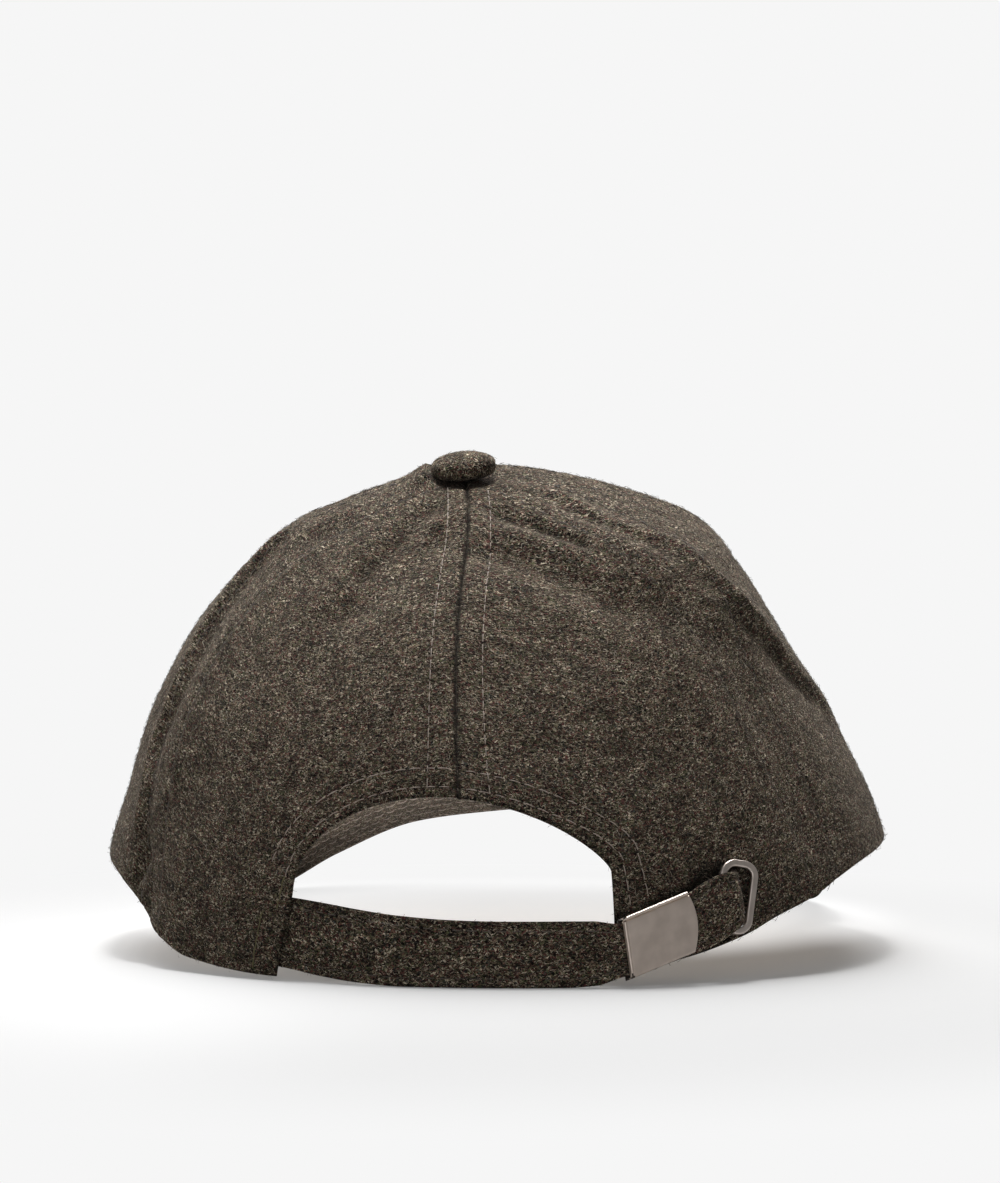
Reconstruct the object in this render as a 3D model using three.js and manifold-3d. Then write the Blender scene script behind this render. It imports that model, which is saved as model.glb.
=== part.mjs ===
// A six-panel peaked cap of wool flannel, lying as it rests by itself on its strap and its peak.
// Millimetres, +Z up, -Y to the front of the cap, +X to the wearer's left.
// A bearing is an angle round the crown in degrees: 0 at the centre back, 90 at the left side, 180 at the front.

import * as THREE from 'three';
import { mergeVertices } from 'three/addons/utils/BufferGeometryUtils.js';
import Module from 'manifold-3d';

const wasm = await Module();
wasm.setup();

// Driving sizes of the crown
const CLOTH = 1.6;
const GAP = 0.3;
const RIM_CENTRE = { x: 1.4, y: 30 };
const RIM_HALF = { left: 102.8, right: 105.7, back: 94.5, front: 91 };
const RIM_FULLNESS = 2.15;
const BUTTON_SEAT = { x: 10.8, y: 7.6, z: 124.6 };
const TOP_LEAN = 0.21;
const SEAT_HOLE = 2.9;

// How far the crown's sides stand out of a plain dome, at shares of the way up
const DOME = [
  { up: 0, left: 0.995, right: 0.995, back: 1, front: 1 },
  { up: 0.2, left: 0.97, right: 0.985, back: 1.04, front: 1 },
  { up: 0.4, left: 0.985, right: 0.98, back: 1.07, front: 1.01 },
  { up: 0.6, left: 1.01, right: 1.04, back: 1.08, front: 1.06 },
  { up: 0.75, left: 1.025, right: 1.16, back: 1.08, front: 1.15 },
  { up: 0.87, left: 1.07, right: 1.325, back: 1.06, front: 1.25 },
  { up: 0.95, left: 0.975, right: 1.31, back: 1, front: 1.29 },
  { up: 1, left: 0.7, right: 1.2, back: 0.95, front: 1.39 },
];

// Height of the rim's lower edge above the surface that the cap rests on
const RIM = [
  { bearing: -180, height: 49 },
  { bearing: -160, height: 45 },
  { bearing: -140, height: 36 },
  { bearing: -120, height: 31.5 },
  { bearing: -100, height: 29.6 },
  { bearing: -90, height: 29 },
  { bearing: -80, height: 28 },
  { bearing: -72, height: 26.6 },
  { bearing: -64, height: 23.4 },
  { bearing: -56, height: 18.6 },
  { bearing: -50, height: 15.4 },
  { bearing: -44, height: 11.2 },
  { bearing: -33, height: 6 },
  { bearing: -23, height: 3.5 },
  { bearing: 0, height: 1 },
  { bearing: 29, height: 1 },
  { bearing: 47, height: 3.8 },
  { bearing: 53, height: 7.6 },
  { bearing: 58, height: 12.2 },
  { bearing: 64, height: 18.4 },
  { bearing: 70, height: 22 },
  { bearing: 76, height: 23.6 },
  { bearing: 84, height: 24.8 },
  { bearing: 95, height: 26 },
  { bearing: 120, height: 30 },
  { bearing: 140, height: 36 },
  { bearing: 160, height: 45 },
  { bearing: 180, height: 49 },
];

// Dents (negative depth) and ridges (positive), each along a line between two places on the crown
const FOLDS = [
  { fromBearing: -14, fromUp: 0.9, toBearing: -42, toUp: 0.78, depth: -2.6, width: 7 },
  { fromBearing: 12, fromUp: 0.92, toBearing: 28, toUp: 0.78, depth: -2.2, width: 7 },
  { fromBearing: -55, fromUp: 0.9, toBearing: -69, toUp: 0.68, depth: 1.6, width: 9 },
  { fromBearing: -69, fromUp: 0.68, toBearing: -92, toUp: 0.39, depth: 1.8, width: 10 },
  { fromBearing: 60, fromUp: 0.14, toBearing: 58, toUp: 0.03, depth: -2.2, width: 7 },
  { fromBearing: 68, fromUp: 0.8, toBearing: 66, toUp: 0.35, depth: -1.2, width: 8 },
  { fromBearing: -60, fromUp: 0.6, toBearing: -60, toUp: 0.15, depth: -1.4, width: 9 },
  { fromBearing: 118, fromUp: 0.925, toBearing: 150, toUp: 0.955, depth: -2.7, width: 9 },
  { fromBearing: 80, fromUp: 0.989, toBearing: 120, toUp: 0.989, depth: 3, width: 4.2 },
];

// Bearings of the six seams, at the rim and at the button. A higher bend turns a seam later on its way up
const SEAMS = {
  backCentre: { rim: -0.8, top: -9.5, bend: 9 },
  backLeft: { rim: 57, top: 68, bend: 1 },
  frontLeft: { rim: 118, top: 122, bend: 1 },
  frontCentre: { rim: 180, top: 180, bend: 1 },
  frontRight: { rim: 241, top: 242, bend: 1 },
  backRight: { rim: 300, top: 302, bend: 1 },
};

// The arch cut out above the strap: a curved top over two nearly upright ends
const ARCH = { middle: 3, height: 47.8 };
const ARCH_LEFT = { bearing: 26.6, height: 22, power: 0.5, foot: 29.6 };
const ARCH_RIGHT = { bearing: -24, height: 28.8, power: 0.75, foot: -23.2 };

// The strap, each row a cut at one bearing: its two edges, and how far its middle stands out of the crown
const STRAP_THICKNESS = 1.6;
const STRAP = [
  { bearing: 42, bottom: 4.6, top: 21.6, out: -3.1 },
  { bearing: 35, bottom: 3.8, top: 21.0, out: -3.1 },
  { bearing: 29, bottom: 3.0, top: 20.7, out: -3.0 },
  { bearing: 23, bottom: 1.6, top: 20.0, out: -2.0 },
  { bearing: 16, bottom: 0.5, top: 18.8, out: 0.0 },
  { bearing: 9, bottom: 0.0, top: 17.6, out: 1.3 },
  { bearing: 0, bottom: 0.0, top: 16.7, out: 1.8 },
  { bearing: -8, bottom: 0.0, top: 16.5, out: 2.0 },
  { bearing: -15, bottom: 0.0, top: 16.5, out: 2.2 },
  { bearing: -20, bottom: 0.5, top: 16.5, out: 2.9 },
  { bearing: -23.7, bottom: 2.5, top: 15.8, out: 3.3 },
  { bearing: -25.7, bottom: 3.3, top: 15.8, out: 3.3 },
  { bearing: -29.7, bottom: 5.1, top: 18.9, out: 2.9 },
  { bearing: -34.6, bottom: 7.7, top: 22.5, out: 3.3 },
  { bearing: -38, bottom: 9.7, top: 25.6, out: 3.5 },
  { bearing: -41.5, bottom: 13.3, top: 27.4, out: 4.0 },
  { bearing: -42.9, bottom: 15.0, top: 27.3, out: 2.2 },
  { bearing: -44.1, bottom: 15.0, top: 27.3, out: -2.6 },
  { bearing: -45.6, bottom: 14.6, top: 28.3, out: -3.6 },
  { bearing: -48, bottom: 15.8, top: 30.0, out: -3.6 },
  { bearing: -53, bottom: 18.4, top: 32.5, out: -3.3 },
  { bearing: -58, bottom: 21.0, top: 35.0, out: -3.3 },
];

// The inner band: where it stands away from the wall to leave room for the strap's two hidden ends
const BAND = { thickness: 1, height: 30, lift: 1, from: 31.5, to: 331 };
const BAND_DEPTH = [
  { bearing: 31, out: -4.7 },
  { bearing: 48, out: -4.7 },
  { bearing: 66, out: -2.5 },
  { bearing: 270, out: -2.6 },
  { bearing: 286, out: -3.2 },
  { bearing: 296, out: -5.0 },
  { bearing: 332, out: -5.0 },
];

// The peak: a stiff sheet from the front rim down to its outer edge, whose two sides touch the surface
const PEAK = {
  thickness: 2.6, reach: 61, tip: { x: 8, y: -124.2 }, cornerOut: 2, sideRound: 0.92, frontRound: 0.8,
};
const PEAK_EDGE = [
  { share: 0.0, height: 20.5 },
  { share: 0.2, height: 17.2 },
  { share: 0.4, height: 8.6 },
  { share: 0.58, height: 0.6 },
  { share: 0.64, height: 0 },
  { share: 0.7, height: 0 },
  { share: 0.76, height: 1.2 },
  { share: 0.88, height: 11 },
  { share: 1.0, height: 26 },
];

const BUTTON = {
  radius: 8.8, height: 5.9, edge: 2.4, seat: 7.2, bulge: 8.4, bulgeUp: 1.4, hollow: 1.6, stem: 1.4,
  stemLength: 5, lift: 1.3, lean: 10, tilt: 3,
};

// Hardware. The clasp and the slot frame lie along the strap, which climbs to the right of the photographed view
const CLASP = {
  bearing: -29.7, height: 12.1, climb: 19.5, slant: 0.27, length: 20.6, width: 15, out: 0.3, plate: 0.5,
};
const LID = {
  out: 4.0, thickness: 0.9, bow: 1.9, barrel: 0.75, bore: 0.5, barrelLength: 13, root: 0.45, shoulder: 1.2,
};
const HINGE = { pin: 0.25, ear: 0.5, earGap: 0.3 };
const FRAME = {
  bearing: -42.8, height: 20.7, climb: -12, slant: 0.11, out: 0.4,
  length: 19.8, width: 10.8, bar: 1.9, thickness: 1.2, corner: 4.2,
};
const SLOT = { length: 17.8, width: 9.8, depth: 8 };

const rad = THREE.MathUtils.degToRad;

// A smooth curve through a table's rows that never swings past them
function through(rows, key, column) {
  const x = rows.map((row) => row[key]);
  const y = rows.map((row) => row[column]);
  const last = x.length - 1;
  const step = (i) => (y[i + 1] - y[i]) / (x[i + 1] - x[i]);
  const slope = x.map((_, i) => {
    if (i === 0) return step(0);
    if (i === last) return step(last - 1);
    const before = step(i - 1);
    const after = step(i);
    return before * after <= 0 ? 0 : (2 * before * after) / (before + after);
  });
  return (at) => {
    const value = THREE.MathUtils.clamp(at, x[0], x[last]);
    let i = 0;
    while (i < last - 1 && value > x[i + 1]) i += 1;
    const span = x[i + 1] - x[i];
    const t = (value - x[i]) / span;
    const s = 1 - t;
    return y[i] * s * s * (1 + 2 * t) + y[i + 1] * t * t * (3 - 2 * t)
      + span * (slope[i] * t * s * s - slope[i + 1] * t * t * s);
  };
}

const rimHeight = through(RIM, 'bearing', 'height');
const fullness = Object.fromEntries(
  ['left', 'right', 'back', 'front'].map((side) => [side, through(DOME, 'up', side)]),
);
const bandDepth = through(BAND_DEPTH, 'bearing', 'out');

// Bearings between -180 and 180
function wrapped(bearing) {
  return ((((bearing + 180) % 360) + 360) % 360) - 180;
}

function shareUp(climb) {
  return Math.sin(climb) ** (4 / 3);
}

function climbOf(up) {
  return Math.asin(Math.max(up, 0) ** (3 / 4));
}

// The crown's outer face without its folds. climb runs from 0 at the rim to a right angle at the button
function smoothCrown(bearing, climb) {
  const at = wrapped(bearing);
  const s = Math.sin(rad(at));
  const c = Math.cos(rad(at));
  const up = shareUp(climb);
  const halfAcross = s > 0 ? RIM_HALF.left : RIM_HALF.right;
  const halfAlong = c > 0 ? RIM_HALF.back : RIM_HALF.front;
  const reach = (Math.abs(s / halfAcross) ** RIM_FULLNESS + Math.abs(c / halfAlong) ** RIM_FULLNESS)
    ** (-1 / RIM_FULLNESS);
  const across = (s > 0 ? fullness.left : fullness.right)(up);
  const along = (c > 0 ? fullness.back : fullness.front)(up);
  const radius = reach * Math.cos(climb) * (s * s * across + c * c * along);
  const x = THREE.MathUtils.lerp(RIM_CENTRE.x, BUTTON_SEAT.x, up) + radius * s;
  const y = THREE.MathUtils.lerp(RIM_CENTRE.y, BUTTON_SEAT.y, up) + radius * c;
  const z = THREE.MathUtils.lerp(rimHeight(at), BUTTON_SEAT.z, up) - TOP_LEAN * (y - BUTTON_SEAT.y) * up ** 3;
  return new THREE.Vector3(x, y, z);
}

function crownNormal(bearing, climb) {
  const turn = 0.4;
  const rise = 0.004;
  const round = smoothCrown(bearing + turn, climb).sub(smoothCrown(bearing - turn, climb));
  const low = Math.max(climb - rise, 0);
  const upward = smoothCrown(bearing, climb + rise).sub(smoothCrown(bearing, low));
  return upward.cross(round).normalize();
}

const foldLines = FOLDS.map((fold) => ({
  ...fold,
  line: new THREE.Line3(
    smoothCrown(fold.fromBearing, climbOf(fold.fromUp)),
    smoothCrown(fold.toBearing, climbOf(fold.toUp)),
  ),
}));

function foldDepth(point) {
  const nearest = new THREE.Vector3();
  return foldLines.reduce((sum, { line, depth, width }) => {
    const away = line.closestPointToPoint(point, true, nearest).distanceTo(point) / width;
    return sum + depth * Math.exp(-away * away);
  }, 0);
}

// A place on the crown, standing out of its folded outer face by a distance along the normal
function onCrown(bearing, climb, out = 0) {
  const point = smoothCrown(bearing, climb);
  const normal = crownNormal(bearing, climb);
  return point.addScaledVector(normal, out + foldDepth(point));
}

// The climb at which the wall reaches a height above the surface that the cap rests on
function climbAtHeight(bearing, height) {
  const low = rimHeight(wrapped(bearing));
  return climbOf((height - low) / (BUTTON_SEAT.z - low));
}

// A place beside the wall at a height, standing out of it by a distance
function besideWall(bearing, height, out = 0) {
  const point = onCrown(bearing, climbAtHeight(bearing, height), out);
  point.z = height;
  return point;
}

function seamBearing(seam, up) {
  return THREE.MathUtils.lerp(seam.rim, seam.top, up ** seam.bend);
}

// Turns a bearing so that a distance along the wall at that place is left free beside a seam
function shiftedBearing(bearing, climb, distance) {
  const middle = THREE.MathUtils.lerp(RIM_CENTRE.y, BUTTON_SEAT.y, shareUp(climb));
  const axis = THREE.MathUtils.lerp(RIM_CENTRE.x, BUTTON_SEAT.x, shareUp(climb));
  const point = smoothCrown(bearing, climb);
  const radius = Math.hypot(point.x - axis, point.y - middle);
  return bearing + THREE.MathUtils.radToDeg(distance / radius);
}

// A closed solid between two grids of points with the same rows and columns
function shell(front, back) {
  const rows = front.length;
  const columns = front[0].length;
  const positions = [];
  for (const grid of [front, back]) {
    for (const row of grid) row.forEach((p) => positions.push(p.x, p.y, p.z));
  }
  const at = (side, i, j) => (side * rows + i) * columns + j;
  const triangles = [];
  const quad = (a, b, c, d) => triangles.push(a, b, c, a, c, d);
  const top = rows - 1;
  const far = columns - 1;
  for (let i = 0; i < top; i += 1) {
    for (let j = 0; j < far; j += 1) {
      quad(at(0, i, j), at(0, i, j + 1), at(0, i + 1, j + 1), at(0, i + 1, j));
      quad(at(1, i, j), at(1, i + 1, j), at(1, i + 1, j + 1), at(1, i, j + 1));
    }
  }
  for (let j = 0; j < far; j += 1) {
    quad(at(0, 0, j), at(1, 0, j), at(1, 0, j + 1), at(0, 0, j + 1));
    quad(at(0, top, j), at(0, top, j + 1), at(1, top, j + 1), at(1, top, j));
  }
  for (let i = 0; i < top; i += 1) {
    quad(at(0, i, 0), at(0, i + 1, 0), at(1, i + 1, 0), at(1, i, 0));
    quad(at(0, i, far), at(1, i, far), at(1, i + 1, far), at(0, i + 1, far));
  }
  return facingOut(triangles, positions);
}

// Builds the geometry and turns its faces round where they point inwards
function facingOut(triangles, positions) {
  const corner = (i) => new THREE.Vector3().fromArray(positions, 3 * i);
  let volume = 0;
  for (let i = 0; i < triangles.length; i += 3) {
    const [a, b, c] = [corner(triangles[i]), corner(triangles[i + 1]), corner(triangles[i + 2])];
    volume += a.dot(b.cross(c)) / 6;
  }
  const order = volume > 0 ? triangles : triangles.slice().reverse();
  const geometry = new THREE.BufferGeometry();
  geometry.setAttribute('position', new THREE.Float32BufferAttribute(positions, 3));
  geometry.setIndex(order);
  return geometry;
}

function spread(count, from, to) {
  return Array.from({ length: count + 1 }, (_, i) => THREE.MathUtils.lerp(from, to, i / count));
}

// Boolean joins and cuts
function toSolid(geometry) {
  const bare = geometry.clone();
  bare.deleteAttribute('normal');
  bare.deleteAttribute('uv');
  const merged = mergeVertices(bare, 1e-4);
  return new wasm.Manifold(new wasm.Mesh({
    numProp: 3,
    vertProperties: new Float32Array(merged.attributes.position.array),
    triVerts: new Uint32Array(merged.index.array),
  }));
}

function fromSolid(solid) {
  const mesh = solid.getMesh();
  const geometry = new THREE.BufferGeometry();
  geometry.setAttribute('position', new THREE.BufferAttribute(mesh.vertProperties, 3));
  geometry.setIndex(new THREE.BufferAttribute(mesh.triVerts, 1));
  return geometry;
}

// Materials
const MATERIALS = {
  flannel: { color: '#4a4139', roughness: 0.95, metalness: 0 },
  flannel_strap: { color: '#3c342c', roughness: 0.95, metalness: 0 },
  band_cloth: { color: '#5a5148', roughness: 0.85, metalness: 0 },
  clasp_metal: { color: '#7e736b', roughness: 0.32, metalness: 1 },
  frame_metal: { color: '#7d7570', roughness: 0.3, metalness: 1 },
};

const cap = new THREE.Group();

function add(name, material, geometry) {
  const mesh = new THREE.Mesh(geometry, new THREE.MeshStandardMaterial(MATERIALS[material]));
  mesh.name = name;
  cap.add(mesh);
}

// Crown panels
const TOP_CLIMB = climbOf(1) - SEAT_HOLE / RIM_HALF.left;
const PANEL_ROWS = 14;
const RIM_COLUMNS = 12;
const BACK_COLUMNS = { arch: 9, end: 2, rim: 6 };
const ARCH_CROWDING = 1.2;
const FANNING = 0.75;

// A grid of points from a panel's foot up to the button, fanned out between its two seams.
// The foot is the panel's lower edge: places with a bearing and a climb, in order round the crown
function panelGrid(foot, startSeam, endSeam, out) {
  return spread(PANEL_ROWS, 0, 1).map((t) => foot.map((place, j) => {
    const climb = THREE.MathUtils.lerp(place.climb, TOP_CLIMB, t);
    const up = shareUp(climb);
    const across = j / (foot.length - 1);
    const start = shiftedBearing(seamBearing(startSeam, up), climb, GAP / 2);
    const end = shiftedBearing(seamBearing(endSeam, up), climb, -GAP / 2);
    const target = THREE.MathUtils.lerp(start, end, across);
    const edge = j === 0 || j === foot.length - 1;
    const ease = edge ? 1 : t ** FANNING;
    return onCrown(THREE.MathUtils.lerp(place.bearing, target, ease), climb, out);
  }));
}

function panel(foot, startSeam, endSeam) {
  return shell(panelGrid(foot, startSeam, endSeam, 0), panelGrid(foot, startSeam, endSeam, -CLOTH));
}

function rimFoot(startSeam, endSeam) {
  return spread(RIM_COLUMNS, startSeam.rim, endSeam.rim).map((bearing) => ({ bearing, climb: 0 }));
}

// The arch's edge from the centre seam to one of its ends, down to the foot, then along the rim to the side seam
function archFoot(end, sideSeam, seamStart) {
  const archHeight = (bearing) => {
    const share = THREE.MathUtils.clamp((bearing - ARCH.middle) / (end.bearing - ARCH.middle), 0, 1);
    return end.height + (ARCH.height - end.height) * (1 - share * share) ** end.power;
  };
  const archPart = spread(BACK_COLUMNS.arch, 0, 1).map((t) => {
    const crowding = Math.cos((t * Math.PI) / 2) ** ARCH_CROWDING;
    const bearing = THREE.MathUtils.lerp(end.bearing, seamStart, crowding);
    return { bearing, climb: climbAtHeight(bearing, archHeight(bearing)) };
  });
  const endPart = spread(BACK_COLUMNS.end + 1, 0, 1).slice(1).map((t) => {
    const bearing = THREE.MathUtils.lerp(end.bearing, end.foot, t);
    const low = rimHeight(wrapped(bearing));
    return { bearing, climb: climbAtHeight(bearing, THREE.MathUtils.lerp(end.height, low, t)) };
  });
  const rimPart = spread(BACK_COLUMNS.rim + 1, end.foot, sideSeam)
    .slice(1)
    .map((bearing) => ({ bearing, climb: 0 }));
  return [...archPart, ...endPart, ...rimPart];
}

const backRightSeam = { ...SEAMS.backRight, rim: SEAMS.backRight.rim - 360, top: SEAMS.backRight.top - 360 };
const leftFoot = archFoot(ARCH_LEFT, SEAMS.backLeft.rim, SEAMS.backCentre.rim);
const rightFoot = archFoot(ARCH_RIGHT, backRightSeam.rim, SEAMS.backCentre.rim);

const WHOLE_PANELS = [
  { name: 'panel_side_left', start: SEAMS.backLeft, end: SEAMS.frontLeft },
  { name: 'panel_front_left', start: SEAMS.frontLeft, end: SEAMS.frontCentre },
  { name: 'panel_front_right', start: SEAMS.frontCentre, end: SEAMS.frontRight },
  { name: 'panel_side_right', start: SEAMS.frontRight, end: SEAMS.backRight },
];

add('panel_back_left', 'flannel', panel(leftFoot, SEAMS.backCentre, SEAMS.backLeft));
for (const { name, start, end } of WHOLE_PANELS) {
  add(name, 'flannel', panel(rimFoot(start, end), start, end));
}

// A frame of axes lying on the wall: along the strap as it climbs, up across it, and out of the wall
function wallAxes(bearing, height, climb, out) {
  const at = climbAtHeight(bearing, height);
  const outward = crownNormal(bearing, at);
  const level = new THREE.Vector3(0, 0, 1).cross(outward).normalize();
  const along = level.clone().applyAxisAngle(outward, rad(climb));
  const upward = outward.clone().cross(along);
  const matrix = new THREE.Matrix4().makeBasis(along, upward, outward);
  return matrix.setPosition(besideWall(bearing, height, out));
}

const frameAxes = wallAxes(FRAME.bearing, FRAME.height, FRAME.climb, FRAME.out);
const frameSlant = new THREE.Matrix4().makeShear(0, 0, FRAME.slant, 0, 0, 0);
const slotCutter = new THREE.BoxGeometry(SLOT.width, SLOT.length, SLOT.depth);
slotCutter.applyMatrix4(frameSlant).applyMatrix4(frameAxes);
const wholeRightPanel = shell(
  panelGrid(rightFoot.slice().reverse(), backRightSeam, SEAMS.backCentre, 0),
  panelGrid(rightFoot.slice().reverse(), backRightSeam, SEAMS.backCentre, -CLOTH),
);
add('panel_back_right', 'flannel', fromSolid(toSolid(wholeRightPanel).subtract(toSolid(slotCutter))));

// Inner band
const BAND_ROWS = 3;
const BAND_COLUMNS = 66;

function bandGrid(extra) {
  return spread(BAND_ROWS, BAND.lift, BAND.lift + BAND.height).map((above) => (
    spread(BAND_COLUMNS, BAND.from, BAND.to).map((bearing) => {
      const height = rimHeight(wrapped(bearing)) + above;
      return besideWall(bearing, height, bandDepth(bearing) - extra);
    })
  ));
}

add('sweatband', 'band_cloth', shell(bandGrid(0), bandGrid(BAND.thickness)));

// Peak. A share runs from -1 at one corner to 1 at the other, and t from the rim out to the edge
const PEAK_COLUMNS = 26;
const PEAK_ROWS = 5;
const PEAK_LAST_SHARE = 0.97;
const PEAK_DROP = GAP + PEAK.thickness * 1.15;
const peakHeight = through(PEAK_EDGE, 'share', 'height');

function peakGrid(raise) {
  const corners = [-1, 1].map((side) => smoothCrown(180 + side * PEAK.reach, 0));
  const cornerY = (corners[0].y + corners[1].y) / 2;
  const under = (share, t) => {
    const bearing = 180 + share * PEAK.reach;
    const inner = besideWall(bearing, rimHeight(wrapped(bearing)), -CLOTH);
    inner.z -= PEAK_DROP;
    const angle = (share * Math.PI) / 2;
    const sideways = Math.sign(share) * Math.abs(Math.sin(angle)) ** PEAK.sideRound;
    const corner = corners[share < 0 ? 0 : 1];
    const outer = new THREE.Vector3(
      THREE.MathUtils.lerp(PEAK.tip.x, corner.x, Math.abs(sideways)),
      THREE.MathUtils.lerp(cornerY, PEAK.tip.y, Math.cos(angle) ** PEAK.frontRound) - PEAK.cornerOut,
      peakHeight(Math.abs(share)),
    );
    return inner.lerp(outer, t);
  };
  const step = 0.01;
  const shares = spread(PEAK_COLUMNS, -PEAK_LAST_SHARE, PEAK_LAST_SHARE);
  return shares.map((share) => spread(PEAK_ROWS, 0, 1).map((t) => {
    const point = under(share, t);
    const sideStep = under(share + step, t).sub(under(share - step, t));
    const outStep = under(share, t + step).sub(under(share, t - step));
    const normal = sideStep.cross(outStep).normalize();
    if (normal.z < 0) normal.negate();
    return point.addScaledVector(normal, raise);
  }));
}

add('peak', 'flannel', shell(peakGrid(PEAK.thickness), peakGrid(0)));

// Strap
const STRAP_COLUMNS = 66;
const strapRows = [...STRAP].reverse();
const strapBottom = through(strapRows, 'bearing', 'bottom');
const strapTop = through(strapRows, 'bearing', 'top');
const strapOut = through(strapRows, 'bearing', 'out');

function strapGrid(side) {
  const bearings = spread(STRAP_COLUMNS, strapRows[strapRows.length - 1].bearing, strapRows[0].bearing);
  const edge = (bearing, height) => besideWall(bearing, height(bearing), strapOut(bearing));
  return [strapBottom, strapTop].map((height) => bearings.map((bearing) => {
    const point = edge(bearing, height);
    const ahead = edge(bearing - 0.5, height).sub(edge(bearing + 0.5, height));
    const outward = new THREE.Vector3(-ahead.y, ahead.x, 0).normalize().negate();
    return point.addScaledVector(outward, side * (STRAP_THICKNESS / 2));
  }));
}

add('strap', 'flannel_strap', shell(strapGrid(1), strapGrid(-1)));

// Button on top, a covered dome with a hidden post through the crown
function buttonGeometry() {
  const { radius, height, edge, seat, bulge, bulgeUp, hollow, stem, stemLength } = BUTTON;
  const dome = spread(7, 0, 1).map((t) => new THREE.Vector2(
    radius * Math.cos((t * Math.PI) / 2),
    edge + (height - edge) * Math.sin((t * Math.PI) / 2),
  ));
  const profile = [
    new THREE.Vector2(0, -stemLength),
    new THREE.Vector2(stem, -stemLength),
    new THREE.Vector2(stem, hollow),
    new THREE.Vector2(seat, 0),
    new THREE.Vector2(bulge, bulgeUp),
    ...dome,
  ];
  profile[profile.length - 1].x = 0;
  const lathe = new THREE.LatheGeometry(profile, 24).rotateX(Math.PI / 2);
  lathe.rotateX(-rad(BUTTON.lean)).rotateY(rad(BUTTON.tilt));
  return lathe.translate(BUTTON_SEAT.x, BUTTON_SEAT.y, BUTTON_SEAT.z + BUTTON.lift);
}

add('top_button', 'flannel', fromSolid(toSolid(buttonGeometry())));

// Clasp: a base with two ears and a pin, and a lid with a barrel that turns on the pin.
// Its left end, with the hinge, slants: x moves by the slant for each millimetre up across the strap
const claspAxes = wallAxes(CLASP.bearing, CLASP.height, CLASP.climb, 0);
const HINGE_X = -CLASP.length / 2 + LID.barrel;
const HINGE_Z = LID.out + LID.barrel;
const HINGE_TURN = -Math.atan(CLASP.slant);

function onHinge(geometry) {
  return geometry.rotateZ(HINGE_TURN).translate(HINGE_X, 0, HINGE_Z);
}

function claspBase() {
  const plate = new THREE.BoxGeometry(CLASP.length, CLASP.width, CLASP.plate);
  plate.applyMatrix4(new THREE.Matrix4().makeShear(0, 0, CLASP.slant, 0, 0, 0));
  plate.translate(0, 0, CLASP.out + CLASP.plate / 2);
  let solid = toSolid(plate);
  const earHeight = HINGE_Z + LID.barrel - CLASP.out;
  for (const side of [-1, 1]) {
    const y = side * (CLASP.width - HINGE.ear) / 2;
    const ear = new THREE.BoxGeometry(2 * LID.barrel, HINGE.ear, earHeight);
    ear.translate(HINGE_X + CLASP.slant * y, y, CLASP.out + earHeight / 2);
    solid = solid.add(toSolid(ear));
  }
  const pinLength = (CLASP.width - HINGE.ear) / Math.cos(HINGE_TURN);
  const pin = onHinge(new THREE.CylinderGeometry(HINGE.pin, HINGE.pin, pinLength, 12));
  return fromSolid(solid.add(toSolid(pin)));
}

function claspLid() {
  const half = CLASP.width / 2;
  const inner = half - HINGE.ear - HINGE.earGap;
  const left = HINGE_X + LID.root;
  const shoulder = left + LID.shoulder;
  const right = CLASP.length / 2 - LID.bow;
  const slanted = (x, y) => [x + CLASP.slant * y, y];
  const outline = new THREE.Shape();
  outline.moveTo(...slanted(left, -inner));
  outline.lineTo(...slanted(shoulder, -inner));
  outline.lineTo(...slanted(shoulder, -half));
  outline.lineTo(...slanted(right, -half));
  outline.quadraticCurveTo(...slanted(right + 2 * LID.bow, 0), ...slanted(right, half));
  outline.lineTo(...slanted(shoulder, half));
  outline.lineTo(...slanted(shoulder, inner));
  outline.lineTo(...slanted(left, inner));
  outline.closePath();
  const flat = { bevelEnabled: false, curveSegments: 12 };
  const plate = new THREE.ExtrudeGeometry(outline, { ...flat, depth: LID.thickness });
  plate.translate(0, 0, LID.out);
  const ring = new THREE.Shape().absarc(0, 0, LID.barrel, 0, 2 * Math.PI);
  ring.holes.push(new THREE.Path().absarc(0, 0, LID.bore, 0, 2 * Math.PI, true));
  const barrel = new THREE.ExtrudeGeometry(ring, { ...flat, depth: LID.barrelLength });
  barrel.rotateX(Math.PI / 2).translate(0, LID.barrelLength / 2, 0);
  onHinge(barrel);
  const bore = onHinge(new THREE.CylinderGeometry(LID.bore, LID.bore, 1.2 * CLASP.width, 12));
  return fromSolid(toSolid(plate).subtract(toSolid(bore)).add(toSolid(barrel)));
}

// Slot frame: a flat rounded ring round the slot that takes the strap's free end
function slotFrame() {
  const rounded = (width, length, corner, path) => {
    const [x, y] = [width / 2, length / 2];
    path.absarc(x - corner, y - corner, corner, 0, Math.PI / 2);
    path.absarc(-x + corner, y - corner, corner, Math.PI / 2, Math.PI);
    path.absarc(-x + corner, -y + corner, corner, Math.PI, Math.PI * 1.5);
    path.absarc(x - corner, -y + corner, corner, Math.PI * 1.5, Math.PI * 2);
    return path;
  };
  const outline = rounded(FRAME.width, FRAME.length, FRAME.corner, new THREE.Shape());
  const inside = [FRAME.width - 2 * FRAME.bar, FRAME.length - 2 * FRAME.bar, FRAME.corner - FRAME.bar];
  outline.holes.push(rounded(...inside, new THREE.Path()));
  const flat = { depth: FRAME.thickness, bevelEnabled: false, curveSegments: 5 };
  return new THREE.ExtrudeGeometry(outline, flat).applyMatrix4(frameSlant);
}

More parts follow.
